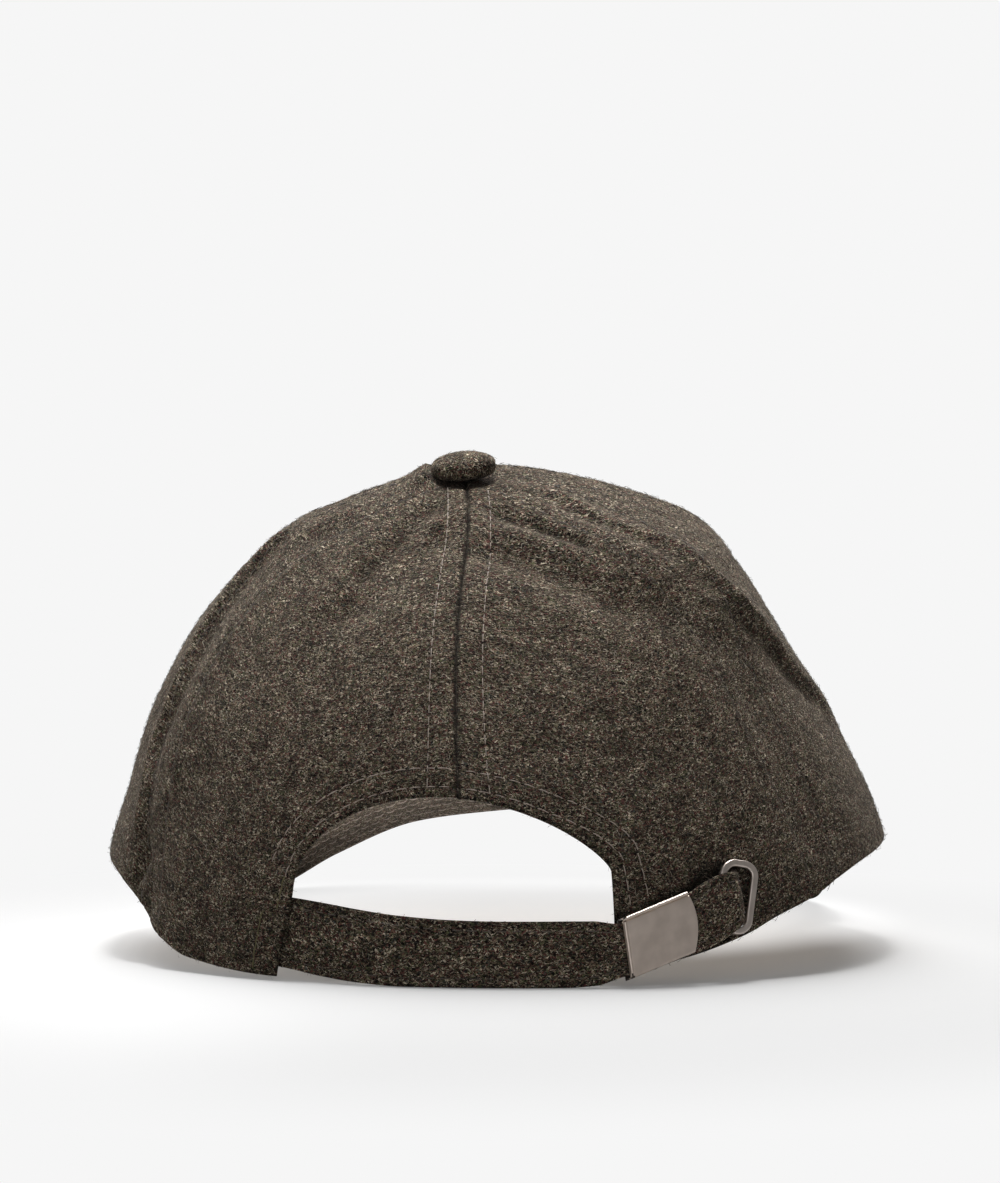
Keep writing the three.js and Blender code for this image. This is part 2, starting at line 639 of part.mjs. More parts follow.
function addHardware(name, material, geometry, axes) {
  add(name, material, geometry);
  const mesh = cap.children[cap.children.length - 1];
  axes.decompose(mesh.position, mesh.quaternion, mesh.scale);
}

addHardware('clasp_base', 'clasp_metal', claspBase(), claspAxes);
addHardware('clasp_lid', 'clasp_metal', claspLid(), claspAxes);
addHardware('slot_frame', 'frame_metal', slotFrame(), frameAxes);

export default cap;
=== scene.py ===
"""The looks of the peaked cap: wool panels, sewing, nap, strap, bands, peak, button, clasp and studio.

Sizes are in millimetres and become metres when a mesh is made. +Z is up, -Y the front, +X the wearer's left.
A bearing is an angle round the crown in degrees: 0 at the centre back, 90 at the left, 180 at the front.
"""

import math

import bmesh
import bpy
import numpy as np
from mathutils import Matrix, Vector


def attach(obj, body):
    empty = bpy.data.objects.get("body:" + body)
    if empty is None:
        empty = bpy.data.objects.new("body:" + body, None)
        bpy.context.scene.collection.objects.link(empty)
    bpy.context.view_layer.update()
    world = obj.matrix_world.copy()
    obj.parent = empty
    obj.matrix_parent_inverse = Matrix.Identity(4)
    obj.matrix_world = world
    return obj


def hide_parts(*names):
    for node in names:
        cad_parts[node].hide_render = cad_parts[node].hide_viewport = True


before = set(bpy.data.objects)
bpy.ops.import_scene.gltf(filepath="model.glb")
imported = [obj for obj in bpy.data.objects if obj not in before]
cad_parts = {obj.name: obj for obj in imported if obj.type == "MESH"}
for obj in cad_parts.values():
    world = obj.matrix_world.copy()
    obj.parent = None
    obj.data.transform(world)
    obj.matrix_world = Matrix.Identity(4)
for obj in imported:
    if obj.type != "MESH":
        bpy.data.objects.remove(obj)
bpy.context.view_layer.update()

MM = 0.001

# The crown, as the frame's panels have it
CLOTH = 1.6
RIM_CENTRE = (1.4, 30.0)
RIM_HALF = {"left": 102.8, "right": 105.7, "back": 94.5, "front": 91.0}
RIM_FULLNESS = 2.15
BUTTON_SEAT = (10.8, 7.6, 124.6)
TOP_LEAN = 0.21

# How far the crown's sides stand out of a plain dome: share of the way up, left, right, back, front
DOME = [
    (0.0, 0.995, 0.995, 1.0, 1.0),
    (0.2, 0.97, 0.985, 1.04, 1.0),
    (0.4, 0.985, 0.98, 1.07, 1.01),
    (0.6, 1.01, 1.04, 1.08, 1.06),
    (0.75, 1.025, 1.16, 1.08, 1.15),
    (0.87, 1.07, 1.325, 1.06, 1.25),
    (0.95, 0.975, 1.31, 1.0, 1.29),
    (1.0, 0.7, 1.2, 0.95, 1.39),
]

# The rim's lower edge: bearing, height above the floor
RIM = [
    (-180, 49), (-160, 45), (-140, 36), (-120, 31.5), (-100, 29.6), (-90, 29), (-80, 28), (-72, 26.6),
    (-64, 23.4), (-56, 18.6), (-50, 15.4), (-44, 11.2), (-33, 6), (-23, 3.5), (0, 1), (29, 1), (47, 3.8),
    (53, 7.6), (58, 12.2), (64, 18.4), (70, 22), (76, 23.6), (84, 24.8), (95, 26), (120, 30), (140, 36),
    (160, 45), (180, 49),
]

# Dents (negative depth) and ridges: bearing and share up of both ends, depth, width
FOLDS = [
    (-14, 0.90, -42, 0.78, -2.6, 7),
    (12, 0.92, 28, 0.78, -2.2, 7),
    (-55, 0.90, -69, 0.68, 1.6, 9),
    (-69, 0.68, -92, 0.39, 1.8, 10),
    (60, 0.14, 58, 0.03, -2.2, 7),
    (68, 0.80, 66, 0.35, -1.2, 8),
    (-60, 0.60, -60, 0.15, -1.4, 9),
    (118, 0.925, 150, 0.955, -2.7, 9),
    (80, 0.989, 120, 0.989, 3.0, 4.2),
]

# Sharper creases in the cloth: height (negative for a furrow), width, and places by bearing and share up
CREASES = [
    (1.3, 2.3, [(-72, 0.975), (-68, 0.955), (-62, 0.908), (-66, 0.883), (-68.5, 0.862), (-68, 0.818),
                (-69, 0.72), (-70, 0.668), (-74, 0.614), (-77.5, 0.547), (-81, 0.477), (-85, 0.422),
                (-86.5, 0.37)]),
    (-1.0, 3.2, [(-60, 0.93), (-60, 0.88), (-63, 0.82), (-65, 0.72), (-66, 0.66), (-70, 0.60), (-73.5, 0.54),
                 (-77, 0.47), (-81, 0.41)]),
    (1.4, 2.3, [(79, 0.86), (78.5, 0.761), (74, 0.69), (72, 0.62), (70, 0.551), (68.5, 0.483), (68, 0.405),
                (68.5, 0.329), (66, 0.25), (65, 0.16)]),
    (-0.9, 3.0, [(73, 0.84), (72, 0.76), (69, 0.69), (67, 0.62), (65.5, 0.55), (64.5, 0.48), (64.5, 0.40),
                 (65, 0.33), (63, 0.25), (62, 0.12)]),
    (-2.0, 2.4, [(-26, 0.958), (-36, 0.943), (-42, 0.928), (-46, 0.90)]),
    (1.2, 3.0, [(-26, 0.925), (-36, 0.905), (-41, 0.885)]),
    (-1.6, 3.6, [(22.5, 0.968), (26.5, 0.921), (31.5, 0.852)]),
    (0.7, 2.6, [(14, 0.95), (18, 0.90), (23, 0.83)]),
    (-1.1, 5.0, [(59, 0.91), (62, 0.89)]),
    (-0.8, 5.0, [(-50, 0.74), (-50, 0.70)]),
    (-1.8, 2.2, [(61, 0.11), (62, 0.05)]),
]

# Seams: bearing at the rim, bearing at the button, and how late the seam turns on its way up
SEAMS = {
    "back_centre": (-0.8, -9.5, 9),
    "back_left": (57, 68, 1),
    "front_left": (118, 122, 1),
    "front_centre": (180, 180, 1),
    "front_right": (241, 242, 1),
    "back_right": (-60, -58, 1),
}
ARCH = {"middle": 3, "height": 47.8}
ARCH_ENDS = {
    "left": {"bearing": 26.6, "height": 22, "power": 0.5, "foot": 29.6},
    "right": {"bearing": -24, "height": 28.8, "power": 0.75, "foot": -23.2},
}

# The strap: bearing, lower edge, upper edge, how far its middle stands out of the crown
STRAP_THICKNESS = 1.6
STRAP = [
    (-58, 21.0, 35.0, -3.3), (-53, 18.4, 32.5, -3.3), (-48, 15.8, 30.0, -3.6), (-45.6, 14.6, 28.3, -3.6),
    (-44.1, 15.0, 27.3, -2.6), (-42.9, 15.0, 27.3, 2.2), (-41.5, 13.3, 27.4, 4.0), (-38, 9.7, 25.6, 3.5),
    (-34.6, 7.7, 22.5, 3.3), (-29.7, 5.1, 18.9, 2.9), (-25.7, 3.3, 15.8, 3.3), (-23.7, 2.5, 15.8, 3.3),
    (-20, 0.5, 16.5, 2.9), (-15, 0.0, 16.5, 2.2), (-8, 0.0, 16.5, 2.0), (0, 0.0, 16.7, 1.8),
    (9, 0.0, 17.6, 1.3), (16, 0.5, 18.8, 0.0), (23, 1.6, 20.0, -2.0), (29, 3.0, 20.7, -3.0),
    (35, 3.8, 21.0, -3.1), (42, 4.6, 21.6, -3.1),
]

# The inner band: bearing, how far its outer face stands out of the crown
BAND = {"thickness": 1.0, "height": 30, "lift": 1.0, "from": 31.5, "to": 331}
BAND_DEPTH = [
    (31, -4.7), (48, -4.7), (66, -2.5), (270, -2.6), (286, -3.2), (296, -5.0), (332, -5.0),
]

# The band's lower edge, which shows behind the peak
BAND_EDGE = {"from": 128, "to": 232, "below": 7.5, "above": 3.0, "behind": 0.2, "thickness": 0.7}

# The peak. reach is half its bearing, depth its middle's length, and flank its edge's from tip to corner.
# corner_out is how far the edge lies in front of its corners, and tuck the share of the depth that the
# crown covers
PEAK = {
    "thickness": 2.6, "reach": 61, "depth": 62.0, "flank": 130, "tip": (8, -124.2), "corner_out": 2,
    "side_round": 0.92, "front_round": 0.8, "last_share": 0.97, "sewn_share": 0.93, "tuck": 0.035,
}
PEAK_DROP = 0.3 + PEAK["thickness"] * 1.15
PEAK_ROWS = [3.0, 8.5, 14.0, 19.5, 25.0, 30.5]

# The peak's outer edge: share of the way round to a corner, height
PEAK_EDGE = [
    (0.0, 20.5), (0.2, 17.2), (0.4, 8.6), (0.58, 0.6), (0.64, 0), (0.7, 0), (0.76, 1.2), (0.88, 11),
    (1.0, 26),
]

BUTTON = {"radius": 8.8, "height": 5.9, "edge": 2.4, "lift": 1.3, "sunk": 0.8, "lean": 10, "tilt": 4.5}
CLASP = {
    "bearing": -29.7, "height": 12.1, "climb": 19.5, "slant": 0.27, "length": 20.6, "width": 15, "out": 0.3,
    "plate": 0.5,
}
LID = {"out": 4.0, "thickness": 0.9, "bow": 1.9, "barrel": 0.75}
RING = {
    "bearing": -42.8, "height": 20.7, "climb": -12, "slant": 0.11, "out": 0.4,
    "length": 19.8, "width": 10.8, "bar": 1.9, "thickness": 1.2, "corner": 4.2,
}
SLOT = {"length": 17.8, "width": 9.8, "depth": 8}

# Sewing: the stitches, and each row's distance from its seam or hem
STITCH = {"pitch": 3.7, "length": 2.9, "thickness": 0.25}
SEAM_ROW = 5.6
SEAM_TOP = 0.955
CENTRE_ROWS = {"left": (6.0, 4.6), "right": (6.4, 6.0)}
ARCH_ROWS = (2.6, 7.9)
ARCH_SEWN_FROM = {"left": 0.36, "right": 0.24}
ARCH_SPREAD = 2.2
STRAP_ROW = 2.4
STRAP_SEWN_FROM = 26
TACKS = [(7.2, 0.03, 0.17), (3.2, 0.24, 0.31)]
ROW_STEPS = 160

# How the sewing shapes the wool: heights and depths, and how far they reach from their lines
RELIEF = {
    "centre_fold": 1.0, "centre_dip": (0.35, 1.8), "seam_fold": 0.6, "seam_depth": 0.4,
    "seam_welt": 0.3, "seam_welt_end": (6.6, 8.6), "hem_welt": 0.25, "hem_welt_end": (8.4, 10.4),
    "seam_dimple": (0.28, 0.9), "hem_dimple": (0.24, 0.9), "pucker": (0.16, 9),
    "broad_waves": 0.4, "small_waves": 0.176, "calm_hem": 4, "calm_to": 14,
    "under_button": 1.5, "under_button_end": (7.5, 11.5),
}

# How much painted shading the cloth's colour takes, and how far it reaches: painted shade in the centre
# seam, along the hems, under the button and round the strap, painted shade in crease furrows and painted
# highlight on crease ridges
PAINTED_SHADING = {
    "centre": (0.8, 0.6), "hem": (0.3, 0.5), "crease": 0.2, "crease_narrow": 0.55,
    "button": 0.6, "button_end": (8.0, 10.5), "strap": 0.88, "strap_above": (0.4, 3.4),
    "strap_below": (-4, 0), "strap_start": (-45, -42), "strap_end": (-20, -18), "least": -0.35, "most": 0.9,
}


# Curves and the crown's surface

def through(rows, column):
    """A smooth curve through a table, against its first column, that never swings past the rows."""
    at = np.array([row[0] for row in rows], float)
    value = np.array([row[column] for row in rows], float)
    step = np.diff(value) / np.diff(at)
    before, after = step[:-1], step[1:]
    total = np.where(before * after > 0, before + after, 1.0)
    inner = np.where(before * after > 0, 2 * before * after / total, 0.0)
    slope = np.concatenate([step[:1], inner, step[-1:]])

    def curve(place):
        place = np.clip(place, at[0], at[-1])
        i = np.clip(np.searchsorted(at, place, side="right") - 1, 0, len(at) - 2)
        span = at[i + 1] - at[i]
        t = (place - at[i]) / span
        s = 1 - t
        return (value[i] * s * s * (1 + 2 * t) + value[i + 1] * t * t * (3 - 2 * t)
                + span * (slope[i] * t * s * s - slope[i + 1] * t * t * s))

    return curve


def lerp(a, b, t):
    return a + (b - a) * t


def unit(vectors):
    return vectors / np.maximum(np.linalg.norm(vectors, axis=-1, keepdims=True), 1e-12)


def smooth_step(low, high, value):
    t = np.clip((value - low) / (high - low), 0, 1)
    return t * t * (3 - 2 * t)


def soft_bump(distance, height, width):
    """A round-topped rise along a line, at a distance from it."""
    return height * np.exp(-(distance / width) ** 2)


def ripple(points, size, seed, waves=12):
    """A smooth random field over places, mostly between -1 and 1, with waves of about the given size."""
    draw = np.random.default_rng(seed)
    turns = unit(draw.normal(size=(waves, 3))) * (2 * math.pi / size) * draw.uniform(0.7, 1.4, (waves, 1))
    phase = draw.uniform(0, 2 * math.pi, waves)
    return np.sin(points @ turns.T + phase).sum(axis=-1) / math.sqrt(2 * waves)


rim_height = through(RIM, 1)
fullness = {side: through(DOME, column) for column, side in enumerate(("left", "right", "back", "front"), 1)}
band_depth = through(BAND_DEPTH, 1)
peak_height = through(PEAK_EDGE, 1)
strap_bottom, strap_top, strap_out = (through(STRAP, column) for column in (1, 2, 3))


def wrapped(bearing):
    return np.mod(np.asarray(bearing, float) + 180, 360) - 180


def share_up(climb):
    return np.abs(np.sin(climb)) ** (4 / 3)


def climb_of(up):
    return np.arcsin(np.clip(up, 0, 1) ** (3 / 4))


def smooth_crown(bearing, climb):
    """The crown's outer face without folds. climb goes from 0 at the rim to a right angle at the button."""
    at, climb = np.broadcast_arrays(wrapped(bearing), np.asarray(climb, float))
    s, c = np.sin(np.radians(at)), np.cos(np.radians(at))
    up = share_up(climb)
    half_across = np.where(s > 0, RIM_HALF["left"], RIM_HALF["right"])
    half_along = np.where(c > 0, RIM_HALF["back"], RIM_HALF["front"])
    power = RIM_FULLNESS
    reach = (np.abs(s / half_across) ** power + np.abs(c / half_along) ** power) ** (-1 / power)
    across = np.where(s > 0, fullness["left"](up), fullness["right"](up))
    along = np.where(c > 0, fullness["back"](up), fullness["front"](up))
    radius = reach * np.cos(climb) * (s * s * across + c * c * along)
    x = lerp(RIM_CENTRE[0], BUTTON_SEAT[0], up) + radius * s
    y = lerp(RIM_CENTRE[1], BUTTON_SEAT[1], up) + radius * c
    z = lerp(rim_height(at), BUTTON_SEAT[2], up) - TOP_LEAN * (y - BUTTON_SEAT[1]) * up ** 3
    return np.stack([x, y, z], axis=-1)


def crown_normal(bearing, climb):
    turn, rise = 0.4, 0.004
    sideways = smooth_crown(bearing + turn, climb) - smooth_crown(bearing - turn, climb)
    upward = smooth_crown(bearing, climb + rise) - smooth_crown(bearing, np.maximum(climb - rise, 0))
    return unit(np.cross(upward, sideways))


def away_from_line(points, corners):
    """Distances from places to a line through several corners."""
    nearest = np.full(points.shape[:-1], np.inf)
    for start, end in zip(corners[:-1], corners[1:]):
        line = end - start
        share = np.clip(((points - start) @ line) / (line @ line), 0, 1)
        nearest = np.minimum(nearest, np.linalg.norm(points - start - share[..., None] * line, axis=-1))
    return nearest


def fold_depth(points):
    """How far the broad dents and ridges stand out."""
    depth = np.zeros(points.shape[:-1])
    for from_bearing, from_up, to_bearing, to_up, deep, width in FOLDS:
        ends = smooth_crown(np.array([from_bearing, to_bearing]), climb_of(np.array([from_up, to_up])))
        depth += soft_bump(away_from_line(points, ends), deep, width)
    return depth


def crease_height(points, narrow=1.0):
    """How far the sharper creases stand out. narrow makes each one a share of its width."""
    height = np.zeros(points.shape[:-1])
    for rise, width, places in CREASES:
        corners = np.array([smooth_crown(bearing, climb_of(up)) for bearing, up in places])
        height += soft_bump(away_from_line(points, corners), rise, width * narrow)
    return height


def on_crown(bearing, climb, out=0.0):
    points = smooth_crown(bearing, climb)
    return points + crown_normal(bearing, climb) * (fold_depth(points) + out)[..., None]


def climb_at_height(bearing, height):
    low = rim_height(wrapped(bearing))
    return climb_of((height - low) / (BUTTON_SEAT[2] - low))


def beside_wall(bearing, height, out=0.0):
    """A place beside the wall at a height, standing out of it by a distance."""
    bearing, height = np.broadcast_arrays(np.asarray(bearing, float), np.asarray(height, float))
    points = on_crown(bearing, climb_at_height(bearing, height), np.broadcast_to(out, bearing.shape))
    points[..., 2] = height
    return points


def wall_axes(bearing, height, climb, out):
    """Axes on the wall as columns: along a line that climbs, up across it, out of the wall, and a place."""
    outward = Vector(crown_normal(np.float64(bearing), climb_at_height(bearing, height)))
    level = Vector((0, 0, 1)).cross(outward).normalized()
    along = Matrix.Rotation(math.radians(climb), 3, outward) @ level
    upward = outward.cross(along)
    place = Vector(beside_wall(bearing, height, out))
    matrix = Matrix((along, upward, outward)).transposed().to_4x4()
    matrix.translation = place
    return np.array(matrix)


def placed(points, axes):
    return points @ axes[:3, :3].T + axes[:3, 3]


# Meshes

def finished_piece(name, mesh, material, body, replaced=()):
    """A shown piece at the origin that rides on a body and stands for its solids."""
    piece = bpy.data.objects.new(name, mesh)
    bpy.context.scene.collection.objects.link(piece)
    mesh.materials.clear()
    mesh.materials.append(material)
    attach(piece, body)
    if replaced:
        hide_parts(*replaced)
    return piece


def mesh_of(name, points, faces, uv=None, sharp=None, painted_shading=None):
    """A smooth-shaded mesh in metres from places in millimetres, its doubles merged, its faces outwards.

    The last argument is painted light in the cloth's colour: how much of it the cloth keeps at each place,
    as painted shade in seams and along contact lines and painted highlight on ridges.
    """
    mesh = bpy.data.meshes.new(name)
    mesh.from_pydata((np.asarray(points) * MM).tolist(), [], faces)
    kept = np.ones(len(mesh.vertices)) if painted_shading is None else np.ravel(painted_shading)
    mesh.attributes.new("painted_shading", "FLOAT", "POINT").data.foreach_set("value", kept.astype(np.float32))
    if uv is not None:
        layer = mesh.uv_layers.new(name="cloth")
        corners = np.empty(len(mesh.loops), int)
        mesh.loops.foreach_get("vertex_index", corners)
        layer.data.foreach_set("uv", np.asarray(uv, np.float32)[corners].ravel())
    shape = bmesh.new()
    shape.from_mesh(mesh)
    bmesh.ops.remove_doubles(shape, verts=shape.verts, dist=1e-6)
    bmesh.ops.dissolve_degenerate(shape, edges=shape.edges, dist=1e-7)
    if shape.calc_volume(signed=True) < 0:
        bmesh.ops.reverse_faces(shape, faces=shape.faces)
    shape.to_mesh(mesh)
    shape.free()
    mesh.shade_smooth()
    if sharp is not None:
        mesh.set_sharp_from_angle(angle=math.radians(sharp))
    return mesh


def shell_faces(rows, columns):
    """Quads of a closed wall between two grids of rows and columns, the second one after the first."""
    def at(side, i, j):
        return (side * rows + i) * columns + j

    top, far = rows - 1, columns - 1
    faces = []
    for i in range(top):
        for j in range(far):
            faces.append((at(0, i, j), at(0, i, j + 1), at(0, i + 1, j + 1), at(0, i + 1, j)))
            faces.append((at(1, i, j), at(1, i + 1, j), at(1, i + 1, j + 1), at(1, i, j + 1)))
    for j in range(far):
        faces.append((at(0, 0, j), at(1, 0, j), at(1, 0, j + 1), at(0, 0, j + 1)))
        faces.append((at(0, top, j), at(0, top, j + 1), at(1, top, j + 1), at(1, top, j)))
    for i in range(top):
        faces.append((at(0, i, 0), at(0, i + 1, 0), at(1, i + 1, 0), at(1, i, 0)))
        faces.append((at(0, i, far), at(1, i, far), at(1, i + 1, far), at(0, i + 1, far)))
    return faces


def wall_mesh(name, outer, inner, uv, sharp=None, painted_shading=None):
    """A closed wall between an outer and an inner grid of places."""
    rows, columns = outer.shape[:2]
    points = np.concatenate([outer.reshape(-1, 3), inner.reshape(-1, 3)])
    both_uv = np.concatenate([uv.reshape(-1, 2)] * 2)
    both_painted_shading = None if painted_shading is None else np.concatenate([painted_shading.ravel()] * 2)
    return mesh_of(name, points, shell_faces(rows, columns), both_uv, sharp, both_painted_shading)


def turned_edge(distance, radius):
    """How far a cloth face drops towards its turned edge, at a distance from it."""
    near = np.clip(radius - distance, 0, radius)
    return radius - np.sqrt(radius * radius - near * near)


def grid_faces(rows, columns, first=0):
    return [(first + i * columns + j, first + i * columns + j + 1, first + (i + 1) * columns + j + 1,
             first + (i + 1) * columns + j) for i in range(rows - 1) for j in range(columns - 1)]


def running_length(points):
    steps = np.linalg.norm(np.diff(points, axis=0), axis=-1)
    return np.concatenate([[0], np.cumsum(steps)])


# Crown panels. Each is a patch between four edges, worked out on the crown rolled flat like a cone

TOP = math.pi / 2
CONE = 0.62
SEAM_GAP = -0.05
FAR_AWAY = 99.0
FINE_LINES = np.array([
    0, 0.06, 0.2, 0.45, 0.8, 1.3, 1.8, 2.2, 2.6, 3.0, 3.6,
    4.2, 4.7, 5.1, 5.6, 6.1, 6.7, 7.3, 7.9, 8.5, 9.3, 10.3,
])

climb_table = TOP * np.linspace(0, 1, 1600) ** 2
meridian = np.stack([
    RIM_HALF["back"] * np.cos(climb_table), BUTTON_SEAT[2] * share_up(climb_table),
], axis=-1)
length_table = running_length(meridian)
length_left = length_table[-1] - length_table


def to_flat(bearing, climb, middle):
    reach = np.interp(climb, climb_table, length_left)
    angle = np.radians(bearing - middle) * CONE
    return np.stack([reach * np.sin(angle), -reach * np.cos(angle)], axis=-1)


def from_flat(flat, middle):
    reach = np.hypot(flat[..., 0], flat[..., 1])
    bearing = middle + np.degrees(np.arctan2(flat[..., 0], -flat[..., 1])) / CONE
    climb = np.interp(reach, length_left[::-1], climb_table[::-1])
    return bearing, climb


def evenly(points):
    """A function from a share of the way along a line of points to the place there."""
    length = running_length(points)

    def place(share):
        along = np.clip(share, 0, 1) * length[-1]
        return np.stack([np.interp(along, length, points[:, k]) for k in range(points.shape[1])], axis=-1)

    return place


def crowded(width, count, at_start, at_end):
    """Shares of the way across a width, with fine lines at real distances from an edge where asked."""
    squeeze = min(1.0, width / (2.6 * FINE_LINES[-1]))
    start = FINE_LINES * squeeze if at_start else np.zeros(1)
    end = width - FINE_LINES[::-1] * squeeze if at_end else np.full(1, width)
    middle = np.linspace(start[-1], end[0], count + 2)[1:-1]
    return np.concatenate([start, middle, end]) / width


def from_button(points):
    """Distances from places to the button's middle, seen from above."""
    return np.hypot(points[..., 0] - BUTTON_SEAT[0], points[..., 1] - BUTTON_SEAT[1])


class Panel:
    """One gore of the crown: a near and a far edge, a foot at the rim and a head towards the button."""

    def __init__(self, name, middle, near, far, foot, head, kinds, counts, rows):
        self.name = name
        self.middle = middle
        self.near, self.far, self.foot, self.head = near, far, foot, head
        self.kinds = kinds
        self.rows = rows
        across = np.linspace(0, 1, counts[0])
        upward = np.linspace(0, 1, counts[1])
        share_across = np.array([crowded(self.width(v), counts[0], True, True) for v in upward])
        crowd_head = kinds["head"] == "seam"
        share_rise = np.array([crowded(self.height(u), counts[1], True, crowd_head) for u in across])
        nominal_u = np.linspace(0, 1, share_across.shape[1])
        nominal_v = np.linspace(0, 1, share_rise.shape[1])
        self.u = np.stack([np.interp(nominal_v, upward, share_across[:, j])
                           for j in range(share_across.shape[1])], axis=1)
        self.v = np.stack([np.interp(nominal_u, across, share_rise[:, i])
                           for i in range(share_rise.shape[1])], axis=0)

    def width(self, v):
        return max(float(np.linalg.norm(self.far(v) - self.near(v))), 0.5)

    def height(self, u):
        return max(float(np.linalg.norm(self.head(u) - self.foot(u))), 0.5)

    def flat(self, u, v):
        u, v = np.broadcast_arrays(np.asarray(u, float), np.asarray(v, float))
        du, dv = u[..., None], v[..., None]
        sides = (1 - du) * self.near(v) + du * self.far(v)
        ends = (1 - dv) * self.foot(u) + dv * self.head(u)
        corners = ((1 - du) * (1 - dv) * self.foot(0.0) + du * (1 - dv) * self.foot(1.0)
                   + (1 - du) * dv * self.head(0.0) + du * dv * self.head(1.0))
        return sides + ends - corners

    def distances(self, flat, u, v):
        """Distances from the hems and from the seams, in the flat."""
        away = {
            "near": np.linalg.norm(flat - self.flat(np.zeros_like(u), v), axis=-1),
            "far": np.linalg.norm(flat - self.flat(np.ones_like(u), v), axis=-1),
            "foot": np.linalg.norm(flat - self.flat(u, np.zeros_like(v)), axis=-1),
            "head": np.linalg.norm(flat - self.flat(u, np.ones_like(v)), axis=-1),
        }
        result = {}
        for kind in ("hem", "seam"):
            sides = [away[side] for side, is_kind in self.kinds.items() if is_kind == kind]
            result[kind] = np.minimum.reduce(sides) if sides else np.full(u.shape, FAR_AWAY)
        result["centre"] = away["head"] if self.kinds["head"] == "seam" else np.full(u.shape, FAR_AWAY)
        return result

    def relief(self, points, away):
        """How far the sewn cloth stands out of the crown: creased seams, pressed welts, stitch dimples."""
        centre, seam, hem = away["centre"], away["seam"], away["hem"]
        crease = turned_edge(centre, RELIEF["centre_fold"]) + soft_bump(centre, *RELIEF["centre_dip"])
        crease = np.maximum(crease, RELIEF["seam_depth"] * turned_edge(seam, RELIEF["seam_fold"]))
        welt = RELIEF["seam_welt"] * (1 - smooth_step(*RELIEF["seam_welt_end"], seam))
        welt += RELIEF["hem_welt"] * (1 - smooth_step(*RELIEF["hem_welt_end"], hem)) * self.rows
        dimple = soft_bump(seam - SEAM_ROW, *RELIEF["seam_dimple"])
        for row in ARCH_ROWS:
            dimple += self.rows * soft_bump(hem - row, *RELIEF["hem_dimple"])
        pucker = ripple(points, 9, 5) * soft_bump(seam, *RELIEF["pucker"])
        waves = RELIEF["broad_waves"] * ripple(points, 46, 3) + RELIEF["small_waves"] * ripple(points, 21, 4)
        calm = smooth_step(0, RELIEF["calm_to"], hem + RELIEF["calm_hem"])
        pressed = 1 - smooth_step(*RELIEF["under_button_end"], from_button(points))
        pressed *= RELIEF["under_button"]
        return welt - crease - dimple - pressed + pucker + waves * calm + crease_height(points)

    def painted_shading(self, points, bearing, away):
        """Painted shading in the cloth's colour: painted shade in the centre seam, along the hems, under the
        button and round the strap, and painted shade and highlight on the creases.
        """
        dark = soft_bump(away["centre"], *PAINTED_SHADING["centre"]) + soft_bump(away["hem"], *PAINTED_SHADING["hem"])
        dark -= PAINTED_SHADING["crease"] * crease_height(points, PAINTED_SHADING["crease_narrow"])
        dark += PAINTED_SHADING["button"] * (1 - smooth_step(*PAINTED_SHADING["button_end"], from_button(points)))
        above = 1 - smooth_step(*PAINTED_SHADING["strap_above"], points[..., 2] - strap_top(bearing))
        below = smooth_step(*PAINTED_SHADING["strap_below"], points[..., 2] - strap_bottom(bearing))
        along = smooth_step(*PAINTED_SHADING["strap_start"], bearing)
        along = along * (1 - smooth_step(*PAINTED_SHADING["strap_end"], bearing))
        dark += PAINTED_SHADING["strap"] * above * below * along
        return 1 - np.clip(dark, PAINTED_SHADING["least"], PAINTED_SHADING["most"])

    def faces(self, u, v):
        """The outer face and the inner face at shares across and up."""
        flat = self.flat(u, v)
        bearing, climb = from_flat(flat, self.middle)
        away = self.distances(flat, u, v)
        base = smooth_crown(bearing, climb)
        normal = crown_normal(bearing, climb)
        relief = self.relief(base, away)
        middle = fold_depth(base) + relief
        drop = turned_edge(away["hem"], CLOTH / 2)
        outer = base + normal * (middle - drop)[..., None]
        inner_depth = np.minimum(middle, fold_depth(base) + 0.3) - CLOTH + drop
        inner = base + normal * np.minimum(inner_depth, middle - drop)[..., None]
        sideways = np.radians(bearing - self.middle) * from_button(base)
        uv = np.stack([sideways, np.interp(climb, climb_table, length_table)], axis=-1)
        return outer, inner, normal, uv, self.painted_shading(base, bearing, away)

    def mesh(self):
        outer, inner, _, uv, painted_shading = self.faces(self.u, self.v)
        return wall_mesh(self.name, outer, inner, uv, painted_shading=painted_shading)

    def row(self, side, distance, start=0.0, end=1.0):
        """A line of places and outward directions at a distance from one of the panel's edges."""
        share = np.linspace(start, end, ROW_STEPS)
        reach = np.array([self.width(s) if side in ("near", "far") else self.height(s) for s in share])
        inset = np.broadcast_to(distance, share.shape) / reach
        u, v = {
            "near": (inset, share),
            "far": (1 - inset, share),
            "foot": (share, inset),
            "head": (share, 1 - inset),
        }[side]
        keep = inset < 0.49
        outer, _, normal, _, _ = self.faces(u[keep], v[keep])
        return outer, normal


def seam_bearing(seam, up):
    rim, top, bend = SEAMS[seam]
    return lerp(rim, top, up ** bend)


def seam_line(seam, middle, turn=0.0, low=0.0):
    """A seam rolled flat, from a climb up to the button. turn moves it sideways, in millimetres."""
    climb = low + (TOP - low) * np.linspace(0, 1, 300)
    bearing = seam_bearing(seam, share_up(climb))
    flat = to_flat(bearing, climb, middle)
    angle = np.radians(bearing - middle) * CONE
    sideways = np.stack([np.cos(angle), np.sin(angle)], axis=-1)
    return evenly(flat + sideways * turn)


